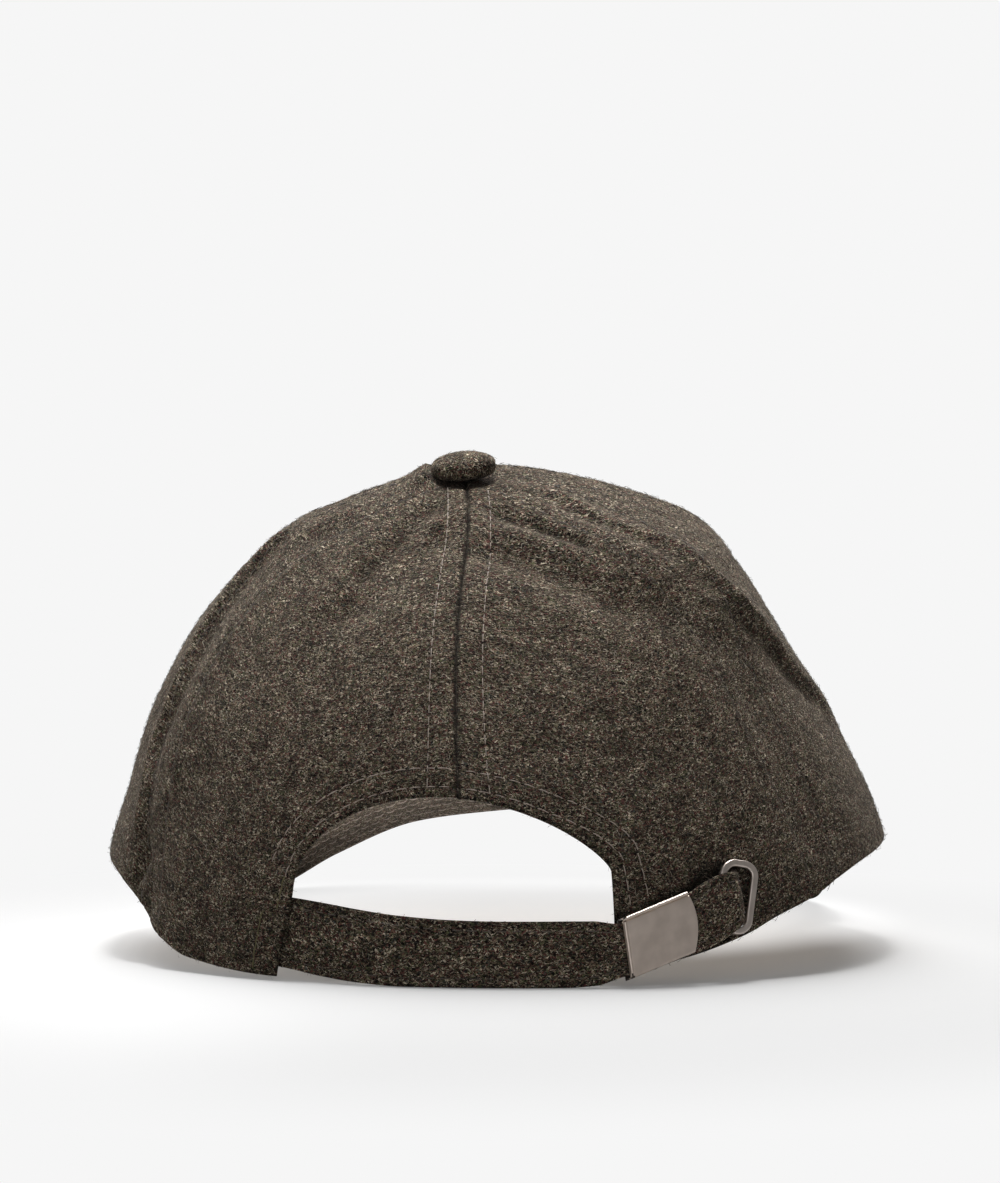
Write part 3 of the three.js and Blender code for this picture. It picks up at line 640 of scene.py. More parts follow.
def whole_panel(name, start, end):
    first, last = SEAMS[start], SEAMS[end]
    shift = 360 if last[0] < first[0] else 0
    middle = (first[0] + last[0] + shift) / 2
    if shift:
        SEAMS[end + "_round"] = (last[0] + shift, last[1] + shift, last[2])
        end = end + "_round"
    near = seam_line(start, middle, SEAM_GAP)
    far = seam_line(end, middle, -SEAM_GAP)
    rim_bearings = np.linspace(SEAMS[start][0], SEAMS[end][0], 120)
    foot = evenly(to_flat(rim_bearings, np.zeros(120), middle))
    head = evenly(to_flat(np.array([first[0], last[0] + shift], float), np.full(2, TOP), middle))
    kinds = {"near": "seam", "far": "seam", "foot": "hem", "head": "point"}
    return Panel(name, middle, near, far, foot, head, kinds, (34, 62), 0.0)


def back_panel(name, side):
    """A back panel: its near edge is the arch from the foot up to the centre seam, which is its head."""
    sign = 1 if side == "left" else -1
    end = ARCH_ENDS[side]
    side_seam = "back_" + side
    middle = (end["bearing"] + SEAMS[side_seam][0]) / 2
    ellipse = np.cos(np.linspace(0, TOP, 160))
    apex_bearing = seam_bearing("back_centre", share_up(climb_at_height(0.0, ARCH["height"])))
    bearings = lerp(apex_bearing, end["bearing"], ellipse)
    share = np.clip((bearings - ARCH["middle"]) / (end["bearing"] - ARCH["middle"]), 0, 1)
    heights = end["height"] + (ARCH["height"] - end["height"]) * (1 - share * share) ** end["power"]
    upright = np.linspace(0, 1, 40)[:-1]
    foot_bearing = end["foot"]
    end_bearings = lerp(foot_bearing, end["bearing"], upright)
    end_heights = lerp(float(rim_height(foot_bearing)), end["height"], upright)
    bearings = np.concatenate([end_bearings, bearings])
    heights = np.concatenate([end_heights, heights])
    near = evenly(to_flat(bearings, climb_at_height(bearings, heights), middle))
    far = seam_line(side_seam, middle, -sign * SEAM_GAP)
    foot = evenly(to_flat(np.linspace(foot_bearing, SEAMS[side_seam][0], 120), np.zeros(120), middle))
    head = seam_line("back_centre", middle, sign * SEAM_GAP, climb_at_height(apex_bearing, heights[-1]))
    kinds = {"near": "hem", "far": "seam", "foot": "hem", "head": "seam"}
    return Panel(name, middle, near, far, foot, head, kinds, (46, 52), 1.0)


# Materials

def srgb(red, green, blue):
    def linear(value):
        value /= 255
        return value / 12.92 if value <= 0.04045 else ((value + 0.055) / 1.055) ** 2.4

    return (linear(red), linear(green), linear(blue), 1.0)


def blank_material(name):
    material = bpy.data.materials.new(name)
    material.use_nodes = True
    material.node_tree.nodes.clear()
    return material, material.node_tree


def node(tree, kind, inputs=None, **settings):
    made = tree.nodes.new(kind)
    for name, value in settings.items():
        setattr(made, name, value)
    for name, value in (inputs or {}).items():
        if isinstance(value, bpy.types.NodeSocket):
            tree.links.new(value, made.inputs[name])
        else:
            made.inputs[name].default_value = value
    return made


def colour_steps(tree, factor, stops, interpolation="LINEAR"):
    ramp = node(tree, "ShaderNodeValToRGB", {"Fac": factor})
    ramp.color_ramp.interpolation = interpolation
    elements = ramp.color_ramp.elements
    while len(elements) < len(stops):
        elements.new(0.5)
    for element, (position, colour) in zip(elements, stops):
        element.position = position
        element.color = colour
    return ramp.outputs["Color"]


def grey(value):
    return (value, value, value, 1.0)


def times(tree, one, other):
    mixed = node(tree, "ShaderNodeMix", {0: 1.0, 6: one, 7: other}, data_type="RGBA", blend_type="MULTIPLY")
    return mixed.outputs[2]


def maths(tree, operation, one, other):
    return node(tree, "ShaderNodeMath", {0: one, 1: other}, operation=operation).outputs[0]


def vector_maths(tree, operation, one, other):
    return node(tree, "ShaderNodeVectorMath", {0: one, 1: other}, operation=operation).outputs[0]


def noise(tree, place, scale, detail, output="Fac", dimensions="2D"):
    made = node(tree, "ShaderNodeTexNoise", {"Vector": place, "Scale": scale, "Detail": detail},
                noise_dimensions=dimensions)
    return made.outputs[output]


def finished_material(material, finish):
    """Ends a material with one shader that has the given inputs."""
    tree = material.node_tree
    shader = node(tree, "ShaderNodeBsdfPrincipled", finish)
    node(tree, "ShaderNodeOutputMaterial", {"Surface": shader.outputs[0]})
    return material


WOOL = {
    "soot": srgb(12, 10, 10),
    "bark": srgb(42, 35, 33),
    "moss": srgb(81, 84, 62),
    "rust": srgb(97, 64, 60),
    "slate": srgb(64, 68, 66),
    "sand": srgb(129, 118, 101),
    "oat": srgb(186, 176, 158),
}
WOOL_SHARES = [
    (0.0, "soot"), (0.21, "bark"), (0.44, "moss"), (0.59, "rust"), (0.73, "slate"), (0.80, "sand"),
    (0.92, "oat"),
]
FIBRE_SHARES = [(0.0, "bark"), (0.3, "moss"), (0.5, "rust"), (0.62, "sand"), (0.85, "oat")]

# The wool's two layers of flecks: turn, length, height and place of the pattern
FLECKS = [(0.16, 0.52, 0.19, 0.0), (-0.35, 0.45, 0.18, 37.0)]


def wool_colours(tree, value, shares):
    return colour_steps(tree, value, [(position, WOOL[name]) for position, name in shares], "CONSTANT")


def wool_flecks(tree, cloth, turn, length, height, offset):
    """Short fibres lying across the cloth: a random number for each, and how near its middle a place is."""
    moved = vector_maths(tree, "ADD", cloth, (offset, offset, 0))
    turned = node(tree, "ShaderNodeVectorRotate", {"Vector": moved, "Angle": turn}, rotation_type="Z_AXIS")
    sized = vector_maths(tree, "MULTIPLY", turned.outputs[0], (1 / length, 1 / height, 1))
    cells = node(tree, "ShaderNodeTexVoronoi", {"Vector": sized, "Scale": 1.0}, voronoi_dimensions="2D")
    parts = node(tree, "ShaderNodeSeparateColor", {"Color": cells.outputs["Color"]})
    return parts.outputs[0], cells.outputs["Distance"]


def flannel(name, depth, pressed=False):
    """Brushed wool melange: two layers of fibres in dark colours, blotches, a soft wale and a nap, with each
    piece's painted shade and highlight multiplied in.
    """
    material, tree = blank_material(name)
    place = node(tree, "ShaderNodeTexCoord").outputs["UV"]
    waver = vector_maths(tree, "SUBTRACT", noise(tree, place, 0.7, 2.0, "Color"), (0.5, 0.5, 0.5))
    pushed = node(tree, "ShaderNodeVectorMath", {0: waver, "Scale": 1.5}, operation="SCALE").outputs[0]
    cloth = vector_maths(tree, "ADD", place, pushed)
    (first, first_depth), (second, _) = [wool_flecks(tree, cloth, *fleck) for fleck in FLECKS]
    share = node(tree, "ShaderNodeMapRange", {"Value": noise(tree, cloth, 1.6, 1.0), 1: 0.48, 2: 0.52})
    colour = node(tree, "ShaderNodeMix", {
        0: share.outputs[0],
        6: wool_colours(tree, first, WOOL_SHARES),
        7: wool_colours(tree, second, WOOL_SHARES),
    }, data_type="RGBA").outputs[2]
    uneven = colour_steps(tree, noise(tree, place, 0.16, 3.0), [(0.32, grey(0.72)), (0.68, grey(1.30))])
    clumps = noise(tree, place, 0.75, 2.0, "Color")
    tinted = colour_steps(tree, clumps, [(0.35, (0.74, 0.70, 0.70, 1.0)), (0.65, (1.32, 1.30, 1.24, 1.0))])
    wales = noise(tree, vector_maths(tree, "MULTIPLY", place, (0.16, 1.0, 1.0)), 0.9, 2.0)
    waled = colour_steps(tree, wales, [(0.35, grey(0.82)), (0.65, grey(1.18))])
    ribs = node(tree, "ShaderNodeTexWave", {
        "Vector": cloth, "Scale": 0.38, "Distortion": 1.2, "Detail": 1.0,
    }, bands_direction="Y")
    ribbed = colour_steps(tree, ribs.outputs["Fac"], [(0.0, grey(0.82)), (1.0, grey(1.16))])
    # Painted shading that each piece carries: painted shade in seams and along contact lines, painted
    # highlight on ridges and on the button's top
    painted_shading = node(tree, "ShaderNodeAttribute", attribute_name="painted_shading").outputs["Fac"]
    for layer in (uneven, tinted, waled, ribbed, painted_shading, grey(depth)):
        colour = times(tree, colour, layer)
    nap = node(tree, "ShaderNodeBump", {
        "Strength": 0.25 if pressed else 0.45, "Distance": 0.0003,
        "Height": maths(tree, "SUBTRACT", first, first_depth),
    })
    rows = node(tree, "ShaderNodeBump", {
        "Strength": 0.35, "Distance": 0.0004, "Height": wales, "Normal": nap.outputs[0],
    })
    return finished_material(material, {
        "Base Color": colour, "Roughness": 1.0, "Specular IOR Level": 0.05, "Normal": rows.outputs[0],
        "Sheen Weight": 0.2, "Sheen Roughness": 0.4, "Sheen Tint": srgb(200, 186, 172),
    })


def band_twill(name):
    """Smooth taupe twill, with fine slanting ribs."""
    material, tree = blank_material(name)
    place = node(tree, "ShaderNodeTexCoord").outputs["UV"]
    ribs = node(tree, "ShaderNodeTexWave", {"Vector": place, "Scale": 0.9, "Distortion": 0.4, "Detail": 1.0},
                bands_direction="DIAGONAL")
    mottle = noise(tree, place, 1.4, 4.0, dimensions="3D")
    tone = colour_steps(tree, mottle, [(0.3, srgb(112, 100, 88)), (0.7, srgb(138, 126, 112))])
    ribbed = colour_steps(tree, ribs.outputs["Fac"], [(0.0, grey(0.93)), (1.0, grey(1.04))])
    bump = node(tree, "ShaderNodeBump", {"Strength": 0.3, "Distance": 0.0002, "Height": ribs.outputs["Fac"]})
    return finished_material(material, {
        "Base Color": times(tree, tone, ribbed), "Roughness": 0.8, "Specular IOR Level": 0.25,
        "Normal": bump.outputs[0], "Sheen Weight": 0.1, "Sheen Roughness": 0.4,
    })


def sewing_thread(name, colour):
    """Twisted sewing thread with a faint lustre."""
    material, tree = blank_material(name)
    place = node(tree, "ShaderNodeTexCoord").outputs["Object"]
    twist = noise(tree, place, 1800.0, 2.0, dimensions="3D")
    darker = tuple(channel * 0.6 for channel in colour[:3]) + (1.0,)
    tone = colour_steps(tree, twist, [(0.35, darker), (0.6, colour)])
    return finished_material(material, {
        "Base Color": tone, "Roughness": 0.6, "Sheen Weight": 0.2, "Specular IOR Level": 0.3,
    })


def fibre_finish(name, depth):
    """Single wool fibres: each has one of the cloth's tones."""
    material, tree = blank_material(name)
    tone = node(tree, "ShaderNodeAttribute", attribute_name="tone").outputs["Fac"]
    colour = times(tree, wool_colours(tree, tone, FIBRE_SHARES), grey(depth))
    return finished_material(material, {
        "Base Color": colour, "Roughness": 0.9, "Specular IOR Level": 0.1, "Sheen Weight": 0.3,
    })


def plated_metal(name, light, dark, roughness):
    """Satin plating with the finest brushed lines and a few handling marks."""
    material, tree = blank_material(name)
    place = node(tree, "ShaderNodeTexCoord").outputs["UV"]
    brushed = noise(tree, vector_maths(tree, "MULTIPLY", place, (0.25, 9.0, 1.0)), 1.0, 3.0)
    colour = colour_steps(tree, noise(tree, place, 0.22, 2.0), [(0.3, dark), (0.7, light)])
    rough = node(tree, "ShaderNodeMapRange", {
        "Value": brushed, 1: 0.3, 2: 0.7, 3: roughness - 0.05, 4: roughness + 0.08,
    })
    bump = node(tree, "ShaderNodeBump", {"Strength": 0.12, "Distance": 0.00005, "Height": brushed})
    return finished_material(material, {
        "Base Color": colour, "Metallic": 1.0, "Roughness": rough.outputs[0], "Normal": bump.outputs[0],
    })


wool = flannel("wool flannel", 0.78)
strap_wool = flannel("pressed wool flannel", 0.90, pressed=True)
twill = band_twill("taupe twill")
pale_thread = sewing_thread("pale thread", srgb(168, 152, 140))
brown_thread = sewing_thread("brown thread", srgb(84, 73, 64))
moss_thread = sewing_thread("moss thread", srgb(104, 98, 62))
fibre_wool = fibre_finish("wool fibres", 0.75)
gunmetal = plated_metal("satin gunmetal", srgb(228, 213, 201), srgb(214, 199, 187), 0.42)
# A darker copy of the gunmetal, as painted shadow on the clasp's base where it lies in the strap's shade
shadowed_gunmetal = plated_metal("gunmetal in painted shadow", srgb(96, 88, 82), srgb(78, 72, 67), 0.55)
ring_metal = plated_metal("polished gunmetal", srgb(220, 208, 199), srgb(200, 188, 178), 0.33)


# Sewing, by geometry nodes

def growing_tree(name, source, result, sizes, finish):
    """A geometry-nodes tree with a named source, result, sizes and material, and what it is given."""
    tree = bpy.data.node_groups.new(name, "GeometryNodeTree")
    tree.interface.new_socket(source, in_out="INPUT", socket_type="NodeSocketGeometry")
    tree.interface.new_socket(result, in_out="OUTPUT", socket_type="NodeSocketGeometry")
    for size in sizes:
        tree.interface.new_socket(size, in_out="INPUT", socket_type="NodeSocketFloat")
    tree.interface.new_socket(finish, in_out="INPUT", socket_type="NodeSocketMaterial")
    return tree, node(tree, "NodeGroupInput").outputs


def finished_tree(tree, laid, material):
    """Ends a tree with real meshes in their material."""
    real = node(tree, "GeometryNodeRealizeInstances", {0: laid})
    dyed = node(tree, "GeometryNodeSetMaterial", {"Geometry": real.outputs[0], "Material": material})
    node(tree, "NodeGroupOutput", {0: dyed.outputs[0]})
    return tree


def corner(tree, **lengths):
    return node(tree, "ShaderNodeCombineXYZ", lengths).outputs[0]


def stitch_tree():
    """Lays a stitch at every pitch along lines that carry an outward direction."""
    tree, given = growing_tree("stitches", "Lines", "Stitches", ("Pitch", "Length", "Thickness"), "Thread")
    curves = node(tree, "GeometryNodeMeshToCurve", {"Mesh": given["Lines"]})
    spaced = node(tree, "GeometryNodeResampleCurve", {"Curve": curves.outputs[0], "Length": given["Pitch"]},
                  mode="LENGTH")
    half = maths(tree, "MULTIPLY", given["Length"], 0.5)
    other_half = maths(tree, "MULTIPLY", given["Length"], -0.5)
    sunk = maths(tree, "MULTIPLY", given["Thickness"], -0.6)
    risen = maths(tree, "MULTIPLY", given["Thickness"], 2.6)
    bow = node(tree, "GeometryNodeCurveQuadraticBezier", {
        "Resolution": 5, "Start": corner(tree, X=other_half, Z=sunk), "Middle": corner(tree, Z=risen),
        "End": corner(tree, X=half, Z=sunk),
    })
    radius = maths(tree, "MULTIPLY", given["Thickness"], 0.5)
    ring = node(tree, "GeometryNodeCurvePrimitiveCircle", {"Resolution": 6, "Radius": radius})
    stitch = node(tree, "GeometryNodeCurveToMesh", {
        "Curve": bow.outputs[0], "Profile Curve": ring.outputs[0], "Fill Caps": True,
    })
    tangent = node(tree, "GeometryNodeInputTangent").outputs[0]
    outward = node(tree, "GeometryNodeInputNamedAttribute", {"Name": "outward"}, data_type="FLOAT_VECTOR")
    along = node(tree, "FunctionNodeAlignRotationToVector", {"Vector": tangent}, axis="X")
    facing = node(tree, "FunctionNodeAlignRotationToVector", {
        "Rotation": along.outputs[0], "Vector": outward.outputs[0],
    }, axis="Z", pivot_axis="X")
    size = node(tree, "FunctionNodeRandomValue", {2: 0.88, 3: 1.12, "Seed": 7}, data_type="FLOAT")
    laid = node(tree, "GeometryNodeInstanceOnPoints", {
        "Points": spaced.outputs[0], "Instance": stitch.outputs[0],
        "Rotation": facing.outputs[0], "Scale": size.outputs[1],
    })
    return finished_tree(tree, laid.outputs[0], given["Thread"])


def input_names(tree):
    return {item.name: item.identifier for item in tree.interface.items_tree if item.in_out == "INPUT"}


def grown(name, source, tree, values, material):
    """Runs a geometry-nodes tree on a source mesh and keeps the result as a plain piece."""
    holder = bpy.data.objects.new(name + "_source", source)
    bpy.context.scene.collection.objects.link(holder)
    modifier = holder.modifiers.new("grow", "NODES")
    modifier.node_group = tree
    names = input_names(tree)
    for key, value in values.items():
        modifier[names[key]] = value
    bpy.context.view_layer.update()
    evaluated = holder.evaluated_get(bpy.context.evaluated_depsgraph_get())
    mesh = bpy.data.meshes.new_from_object(evaluated)
    bpy.data.objects.remove(holder)
    mesh.name = name
    mesh.shade_smooth()
    return finished_piece(name, mesh, material, "cap")


def lines_mesh(name, rows):
    """Edge chains through rows of places, each with its outward directions as an attribute."""
    points, outward, edges = [], [], []
    for places, directions in rows:
        first = len(points)
        points.extend((places * MM).tolist())
        outward.extend(directions.tolist())
        edges.extend((first + i, first + i + 1) for i in range(len(places) - 1))
    mesh = bpy.data.meshes.new(name)
    mesh.from_pydata(points, edges, [])
    attribute = mesh.attributes.new("outward", "FLOAT_VECTOR", "POINT")
    attribute.data.foreach_set("vector", np.array(outward, np.float32).ravel())
    return mesh


stitches = stitch_tree()


def sew(name, rows, slot="flannel", thread=pale_thread, **sizes):
    """Stitches along rows of places with outward directions."""
    values = {
        "Pitch": sizes.get("pitch", STITCH["pitch"]) * MM,
        "Length": sizes.get("length", STITCH["length"]) * MM,
        "Thickness": sizes.get("thickness", STITCH["thickness"]) * MM,
        "Thread": thread,
    }
    return grown(name, lines_mesh(name, rows), stitches, values, thread)


# The six panels and their seams

panels = {
    "side_left": whole_panel("wool_side_left", "back_left", "front_left"),
    "front_left": whole_panel("wool_front_left", "front_left", "front_centre"),
    "front_right": whole_panel("wool_front_right", "front_centre", "front_right"),
    "side_right": whole_panel("wool_side_right", "front_right", "back_right"),
    "back_left": back_panel("wool_back_left", "left"),
    "back_right": back_panel("wool_back_right", "right"),
}


def cut_slot(mesh):
    """Cuts the strap's slot through the right back panel."""
    axes = wall_axes(RING["bearing"], RING["height"], RING["climb"], RING["out"])
    x, y, z = SLOT["width"] / 2, SLOT["length"] / 2, SLOT["depth"] / 2
    lean = RING["slant"] * y
    signs = [(a, b, c) for a in (-1, 1) for b in (-1, 1) for c in (-1, 1)]
    corners = np.array([(a * x + b * lean, b * y, c * z) for a, b, c in signs])
    faces = [(0, 1, 3, 2), (4, 6, 7, 5), (0, 4, 5, 1), (2, 3, 7, 6), (0, 2, 6, 4), (1, 5, 7, 3)]
    cutter = bpy.data.objects.new("slot_cutter", mesh_of("slot_cutter", placed(corners, axes), faces))
    panel = bpy.data.objects.new("slot_panel", mesh)
    for thing in (cutter, panel):
        bpy.context.scene.collection.objects.link(thing)
    cut = panel.modifiers.new("slot", "BOOLEAN")
    cut.operation = "DIFFERENCE"
    cut.solver = "EXACT"
    cut.object = cutter
    bpy.context.view_layer.update()
    result = bpy.data.meshes.new_from_object(panel.evaluated_get(bpy.context.evaluated_depsgraph_get()))
    for thing in (panel, cutter):
        bpy.data.objects.remove(thing)
    return result


for key, panel in panels.items():
    cloth = panel.mesh()
    if key == "back_right":
        cloth = cut_slot(cloth)
    finished_piece(panel.name, cloth, wool, "cap", ["panel_" + key])

seam_rows = []
for key in ("side_left", "front_left", "front_right", "side_right"):
    for side in ("near", "far"):
        seam_rows.append(panels[key].row(side, SEAM_ROW, 0.02, SEAM_TOP))
for key in ("back_left", "back_right"):
    seam_rows.append(panels[key].row("far", SEAM_ROW, 0.03, SEAM_TOP))
sew("stitches_seams", seam_rows, thread=brown_thread)

centre_rows = [
    panels["back_" + side].row("head", np.linspace(*ends, ROW_STEPS), 0.035, 0.93)
    for side, ends in CENTRE_ROWS.items()
]
sew("stitches_centre_seam", centre_rows, thickness=0.21)

# The arch's two rows stand further apart where they start on the right
spreading = np.interp(np.linspace(0, 1, ROW_STEPS), [0.0, 0.35, 0.6], [1.0, 0.6, 0.0])
spread = {"left": 0.0, "right": ARCH_SPREAD * spreading}
arch_rows = [
    panels["back_" + side].row("near", distance + spread[side], start)
    for side, start in ARCH_SEWN_FROM.items() for distance in ARCH_ROWS
]
sew("stitches_arch", arch_rows, length=3.0, thickness=0.27)

tack_rows = [panels["back_left"].row("near", *tack) for tack in TACKS]
sew("stitches_tacks", tack_rows, thread=moss_thread, pitch=2.6, length=3.2, thickness=0.34)


# The nap: loose fibres that stand out of the wool

FIBRE = {"per_mm2": 0.65, "length": 1.15, "width": 0.05}


def fibre_tree():
    """Scatters short bent fibres over a face, each lying its own way, with a random tone."""
    tree, given = growing_tree("loose fibres", "Cloth", "Fibres", ("Density", "Length", "Width"), "Fibre")
    scattered = node(tree, "GeometryNodeDistributePointsOnFaces", {
        "Mesh": given["Cloth"], "Density": given["Density"], "Seed": 5,
    }, distribute_method="RANDOM")
    reach = maths(tree, "MULTIPLY", given["Length"], 0.55)
    rise = maths(tree, "MULTIPLY", given["Length"], 0.22)
    bent = node(tree, "GeometryNodeCurveQuadraticBezier", {
        "Resolution": 3, "Start": (0.0, 0.0, 0.0), "Middle": corner(tree, X=reach, Z=rise),
        "End": corner(tree, X=given["Length"], Y=rise),
    })
    half = maths(tree, "MULTIPLY", given["Width"], 0.5)
    other_half = maths(tree, "MULTIPLY", given["Width"], -0.5)
    section = node(tree, "GeometryNodeCurvePrimitiveLine", {
        "Start": corner(tree, X=other_half, Y=other_half), "End": corner(tree, X=half, Y=half),
    })
    fibre = node(tree, "GeometryNodeCurveToMesh", {
        "Curve": bent.outputs[0], "Profile Curve": section.outputs[0],
    })
    way = node(tree, "FunctionNodeRandomValue", {
        0: (-0.5, -0.35, 0.0), 1: (0.5, 0.15, 2 * math.pi), "Seed": 11,
    }, data_type="FLOAT_VECTOR")
    turn = node(tree, "FunctionNodeEulerToRotation", {0: way.outputs[0]})
    turned = node(tree, "FunctionNodeRotateRotation", {0: scattered.outputs["Rotation"], 1: turn.outputs[0]},
                  rotation_space="LOCAL")
    size = node(tree, "FunctionNodeRandomValue", {2: 0.5, 3: 1.5, "Seed": 12}, data_type="FLOAT")
    laid = node(tree, "GeometryNodeInstanceOnPoints", {
        "Points": scattered.outputs["Points"], "Instance": fibre.outputs[0],
        "Rotation": turned.outputs[0], "Scale": size.outputs[1],
    })
    tone = node(tree, "FunctionNodeRandomValue", {2: 0.0, 3: 1.0, "Seed": 13}, data_type="FLOAT")
    toned = node(tree, "GeometryNodeStoreNamedAttribute", {
        "Geometry": laid.outputs[0], "Name": "tone", "Value": tone.outputs[1],
    }, data_type="FLOAT", domain="INSTANCE")
    return finished_tree(tree, toned.outputs[0], given["Fibre"])


loose_fibres = fibre_tree()


def fuzz(name, outer, slot="flannel", **sizes):
    """Loose fibres over an outer grid of places."""
    rows, columns = outer.shape[:2]
    source = mesh_of(name + "_face", outer.reshape(-1, 3), grid_faces(rows, columns))
    values = {
        "Density": sizes.get("per_mm2", FIBRE["per_mm2"]) * 1e6,
        "Length": sizes.get("length", FIBRE["length"]) * MM,
        "Width": sizes.get("width", FIBRE["width"]) * MM,
        "Fibre": fibre_wool,
    }
    return grown(name, source, loose_fibres, values, fibre_wool)


for key, panel in panels.items():
    fuzz("fibres_" + key, panel.faces(panel.u, panel.v)[0])


# Strap, inner band and peak

def along_and_across(length, across):
    """Cloth coordinates from lengths along one direction of a grid and across it."""
    return np.stack(np.broadcast_arrays(length, across), axis=-1)


def strap_edge(height):
    """One edge of the strap: its places, and its level outward directions."""
    bearings = np.linspace(STRAP[-1][0], STRAP[0][0], 300)
    line = beside_wall(bearings, height(bearings), strap_out(bearings))
    ahead = np.gradient(line, axis=0)
    return line, unit(np.stack([ahead[:, 1], -ahead[:, 0], np.zeros(len(line))], axis=-1))


def strap_pieces(bow=0.25, pattern_place=300.0):
    """The strap, bowed across and with turned edges: its mesh, its outward directions and its outer face."""
    (low, low_out), (high, high_out) = strap_edge(strap_bottom), strap_edge(strap_top)
    width = np.linalg.norm(high - low, axis=-1).mean()
    across = crowded(width, 10, True, True)[:, None, None]
    outward = unit(lerp(low_out, high_out, 0.5))
    base = lerp(low[None], high[None], across)
    from_edge = np.minimum(across, 1 - across) * width
    crown = bow * (1 - (2 * across - 1) ** 2)
    drop = turned_edge(from_edge, STRAP_THICKNESS / 2)
    dent = soft_bump(from_edge - STRAP_ROW, 0.22, 0.8)
    soft = 0.10 * ripple(base, 16, 11)[..., None] + 0.06 * ripple(base, 7, 12)[..., None]
    outer = base + outward * (STRAP_THICKNESS / 2 + crown + soft - drop - dent)
    inner = base + outward * (-STRAP_THICKNESS / 2 + crown + soft + drop)
    uv = along_and_across(running_length(low)[None, :] + pattern_place, across[..., 0] * width)
    # Painted shade along the strap's upper edge
    from_top = np.broadcast_to((1 - across[..., 0]) * width, outer.shape[:2])
    painted_shading = 1 - soft_bump(from_top, 0.5, 1.1)
    return wall_mesh("strap_cloth", outer, inner, uv, painted_shading=painted_shading), outward, outer


strap_mesh, strap_outward, strap_face = strap_pieces()
finished_piece("strap_cloth", strap_mesh, strap_wool, "cap", ["strap"])
fuzz("fibres_strap", strap_face, slot="flannel_strap", per_mm2=0.5, length=0.9)


def strap_row(inset):
    """A sewing line along the strap at a distance from its upper edge, or its lower edge where negative."""
    low, high = strap_edge(strap_bottom)[0], strap_edge(strap_top)[0]
    width = np.linalg.norm(high - low, axis=-1)[:, None]
    share = 1 - inset / width if inset > 0 else -inset / width
    line = lerp(low, high, share) + strap_outward * (STRAP_THICKNESS / 2 + 0.08)
    return line[STRAP_SEWN_FROM:], strap_outward[STRAP_SEWN_FROM:]


strap_rows = [strap_row(STRAP_ROW), strap_row(-STRAP_ROW)]
sew("stitches_strap", strap_rows, slot="flannel_strap", thread=brown_thread, length=2.2)


def band_grid(rows, columns, extra):
    bearings = np.linspace(BAND["from"], BAND["to"], columns)[None, :]
    above = np.linspace(BAND["lift"], BAND["lift"] + BAND["height"], rows)[:, None]
    height = rim_height(wrapped(bearings)) + above
    return beside_wall(np.broadcast_to(bearings, height.shape), height, band_depth(bearings) - extra)


def sweatband():
    rows, columns = 18, 300
    outer = band_grid(rows, columns, 0.0)
    inner = band_grid(rows, columns, BAND["thickness"])
    soft = 0.14 * ripple(outer, 24, 21)[..., None]
    inward = unit(inner - outer)
    uv = along_and_across(running_length(outer[0])[None, :], np.linspace(0, BAND["height"], rows)[:, None])
    return wall_mesh("band_cloth_inner", outer, inner - inward * soft, uv)


finished_piece("band_inner", sweatband(), twill, "cap", ["sweatband"])


def band_edge(pattern_place=900):
    """The inner band's lower edge, which hangs a little below the rim behind the peak."""
    bearings = np.linspace(BAND_EDGE["from"], BAND_EDGE["to"], 160)[None, :]
    ends = np.sin(math.pi * (bearings - BAND_EDGE["from"]) / (BAND_EDGE["to"] - BAND_EDGE["from"]))
    low = -BAND_EDGE["below"] * np.clip(ends, 0, 1) ** 0.4
    height = rim_height(wrapped(bearings)) + lerp(low, BAND_EDGE["above"], np.linspace(0, 1, 12)[:, None])
    depth = band_depth(bearings) - BAND["thickness"] - BAND_EDGE["behind"]
    bearings = np.broadcast_to(bearings, height.shape)
    near = beside_wall(bearings, height, depth)
    far = beside_wall(bearings, height, depth - BAND_EDGE["thickness"])
    uv = along_and_across(running_length(near[0])[None, :] + pattern_place, height)
    return wall_mesh("band_edge_inner", near, far, uv)


finished_piece("band_edge_inner", band_edge(), twill, "cap")


def peak_under(share, t):
    """The peak's lower face, at a share of the way to a corner and a share t of its depth."""
    bearing = 180 + share * PEAK["reach"]
    inner = beside_wall(bearing, rim_height(wrapped(bearing)), -CLOTH)
    inner[..., 2] -= PEAK_DROP
    corners = smooth_crown(180 + np.array([-1.0, 1.0]) * PEAK["reach"], 0.0)
    corner_y = corners[:, 1].mean()
    angle = share * math.pi / 2
    sideways = np.abs(np.sin(angle)) ** PEAK["side_round"]
    corner_x = np.where(share < 0, corners[0, 0], corners[1, 0])
    outer = np.stack([
        lerp(PEAK["tip"][0], corner_x, sideways),
        lerp(corner_y, PEAK["tip"][1], np.cos(angle) ** PEAK["front_round"]) - PEAK["corner_out"],
        peak_height(np.abs(share)),
    ], axis=-1)
    return lerp(inner, outer, t[..., None])


def peak_face(share, t, raise_by):
    """Places above the peak's lower face, and the upward directions there."""
    share, t = np.broadcast_arrays(share, t)
    step = 0.01
    sideways = peak_under(share + step, t) - peak_under(share - step, t)
    outwards = peak_under(share, t + step) - peak_under(share, t - step)
    normal = unit(np.cross(sideways, outwards))
    normal *= np.sign(normal[..., 2:])
    raised = np.broadcast_to(raise_by, share.shape)[..., None]
    return peak_under(share, t) + normal * raised, normal


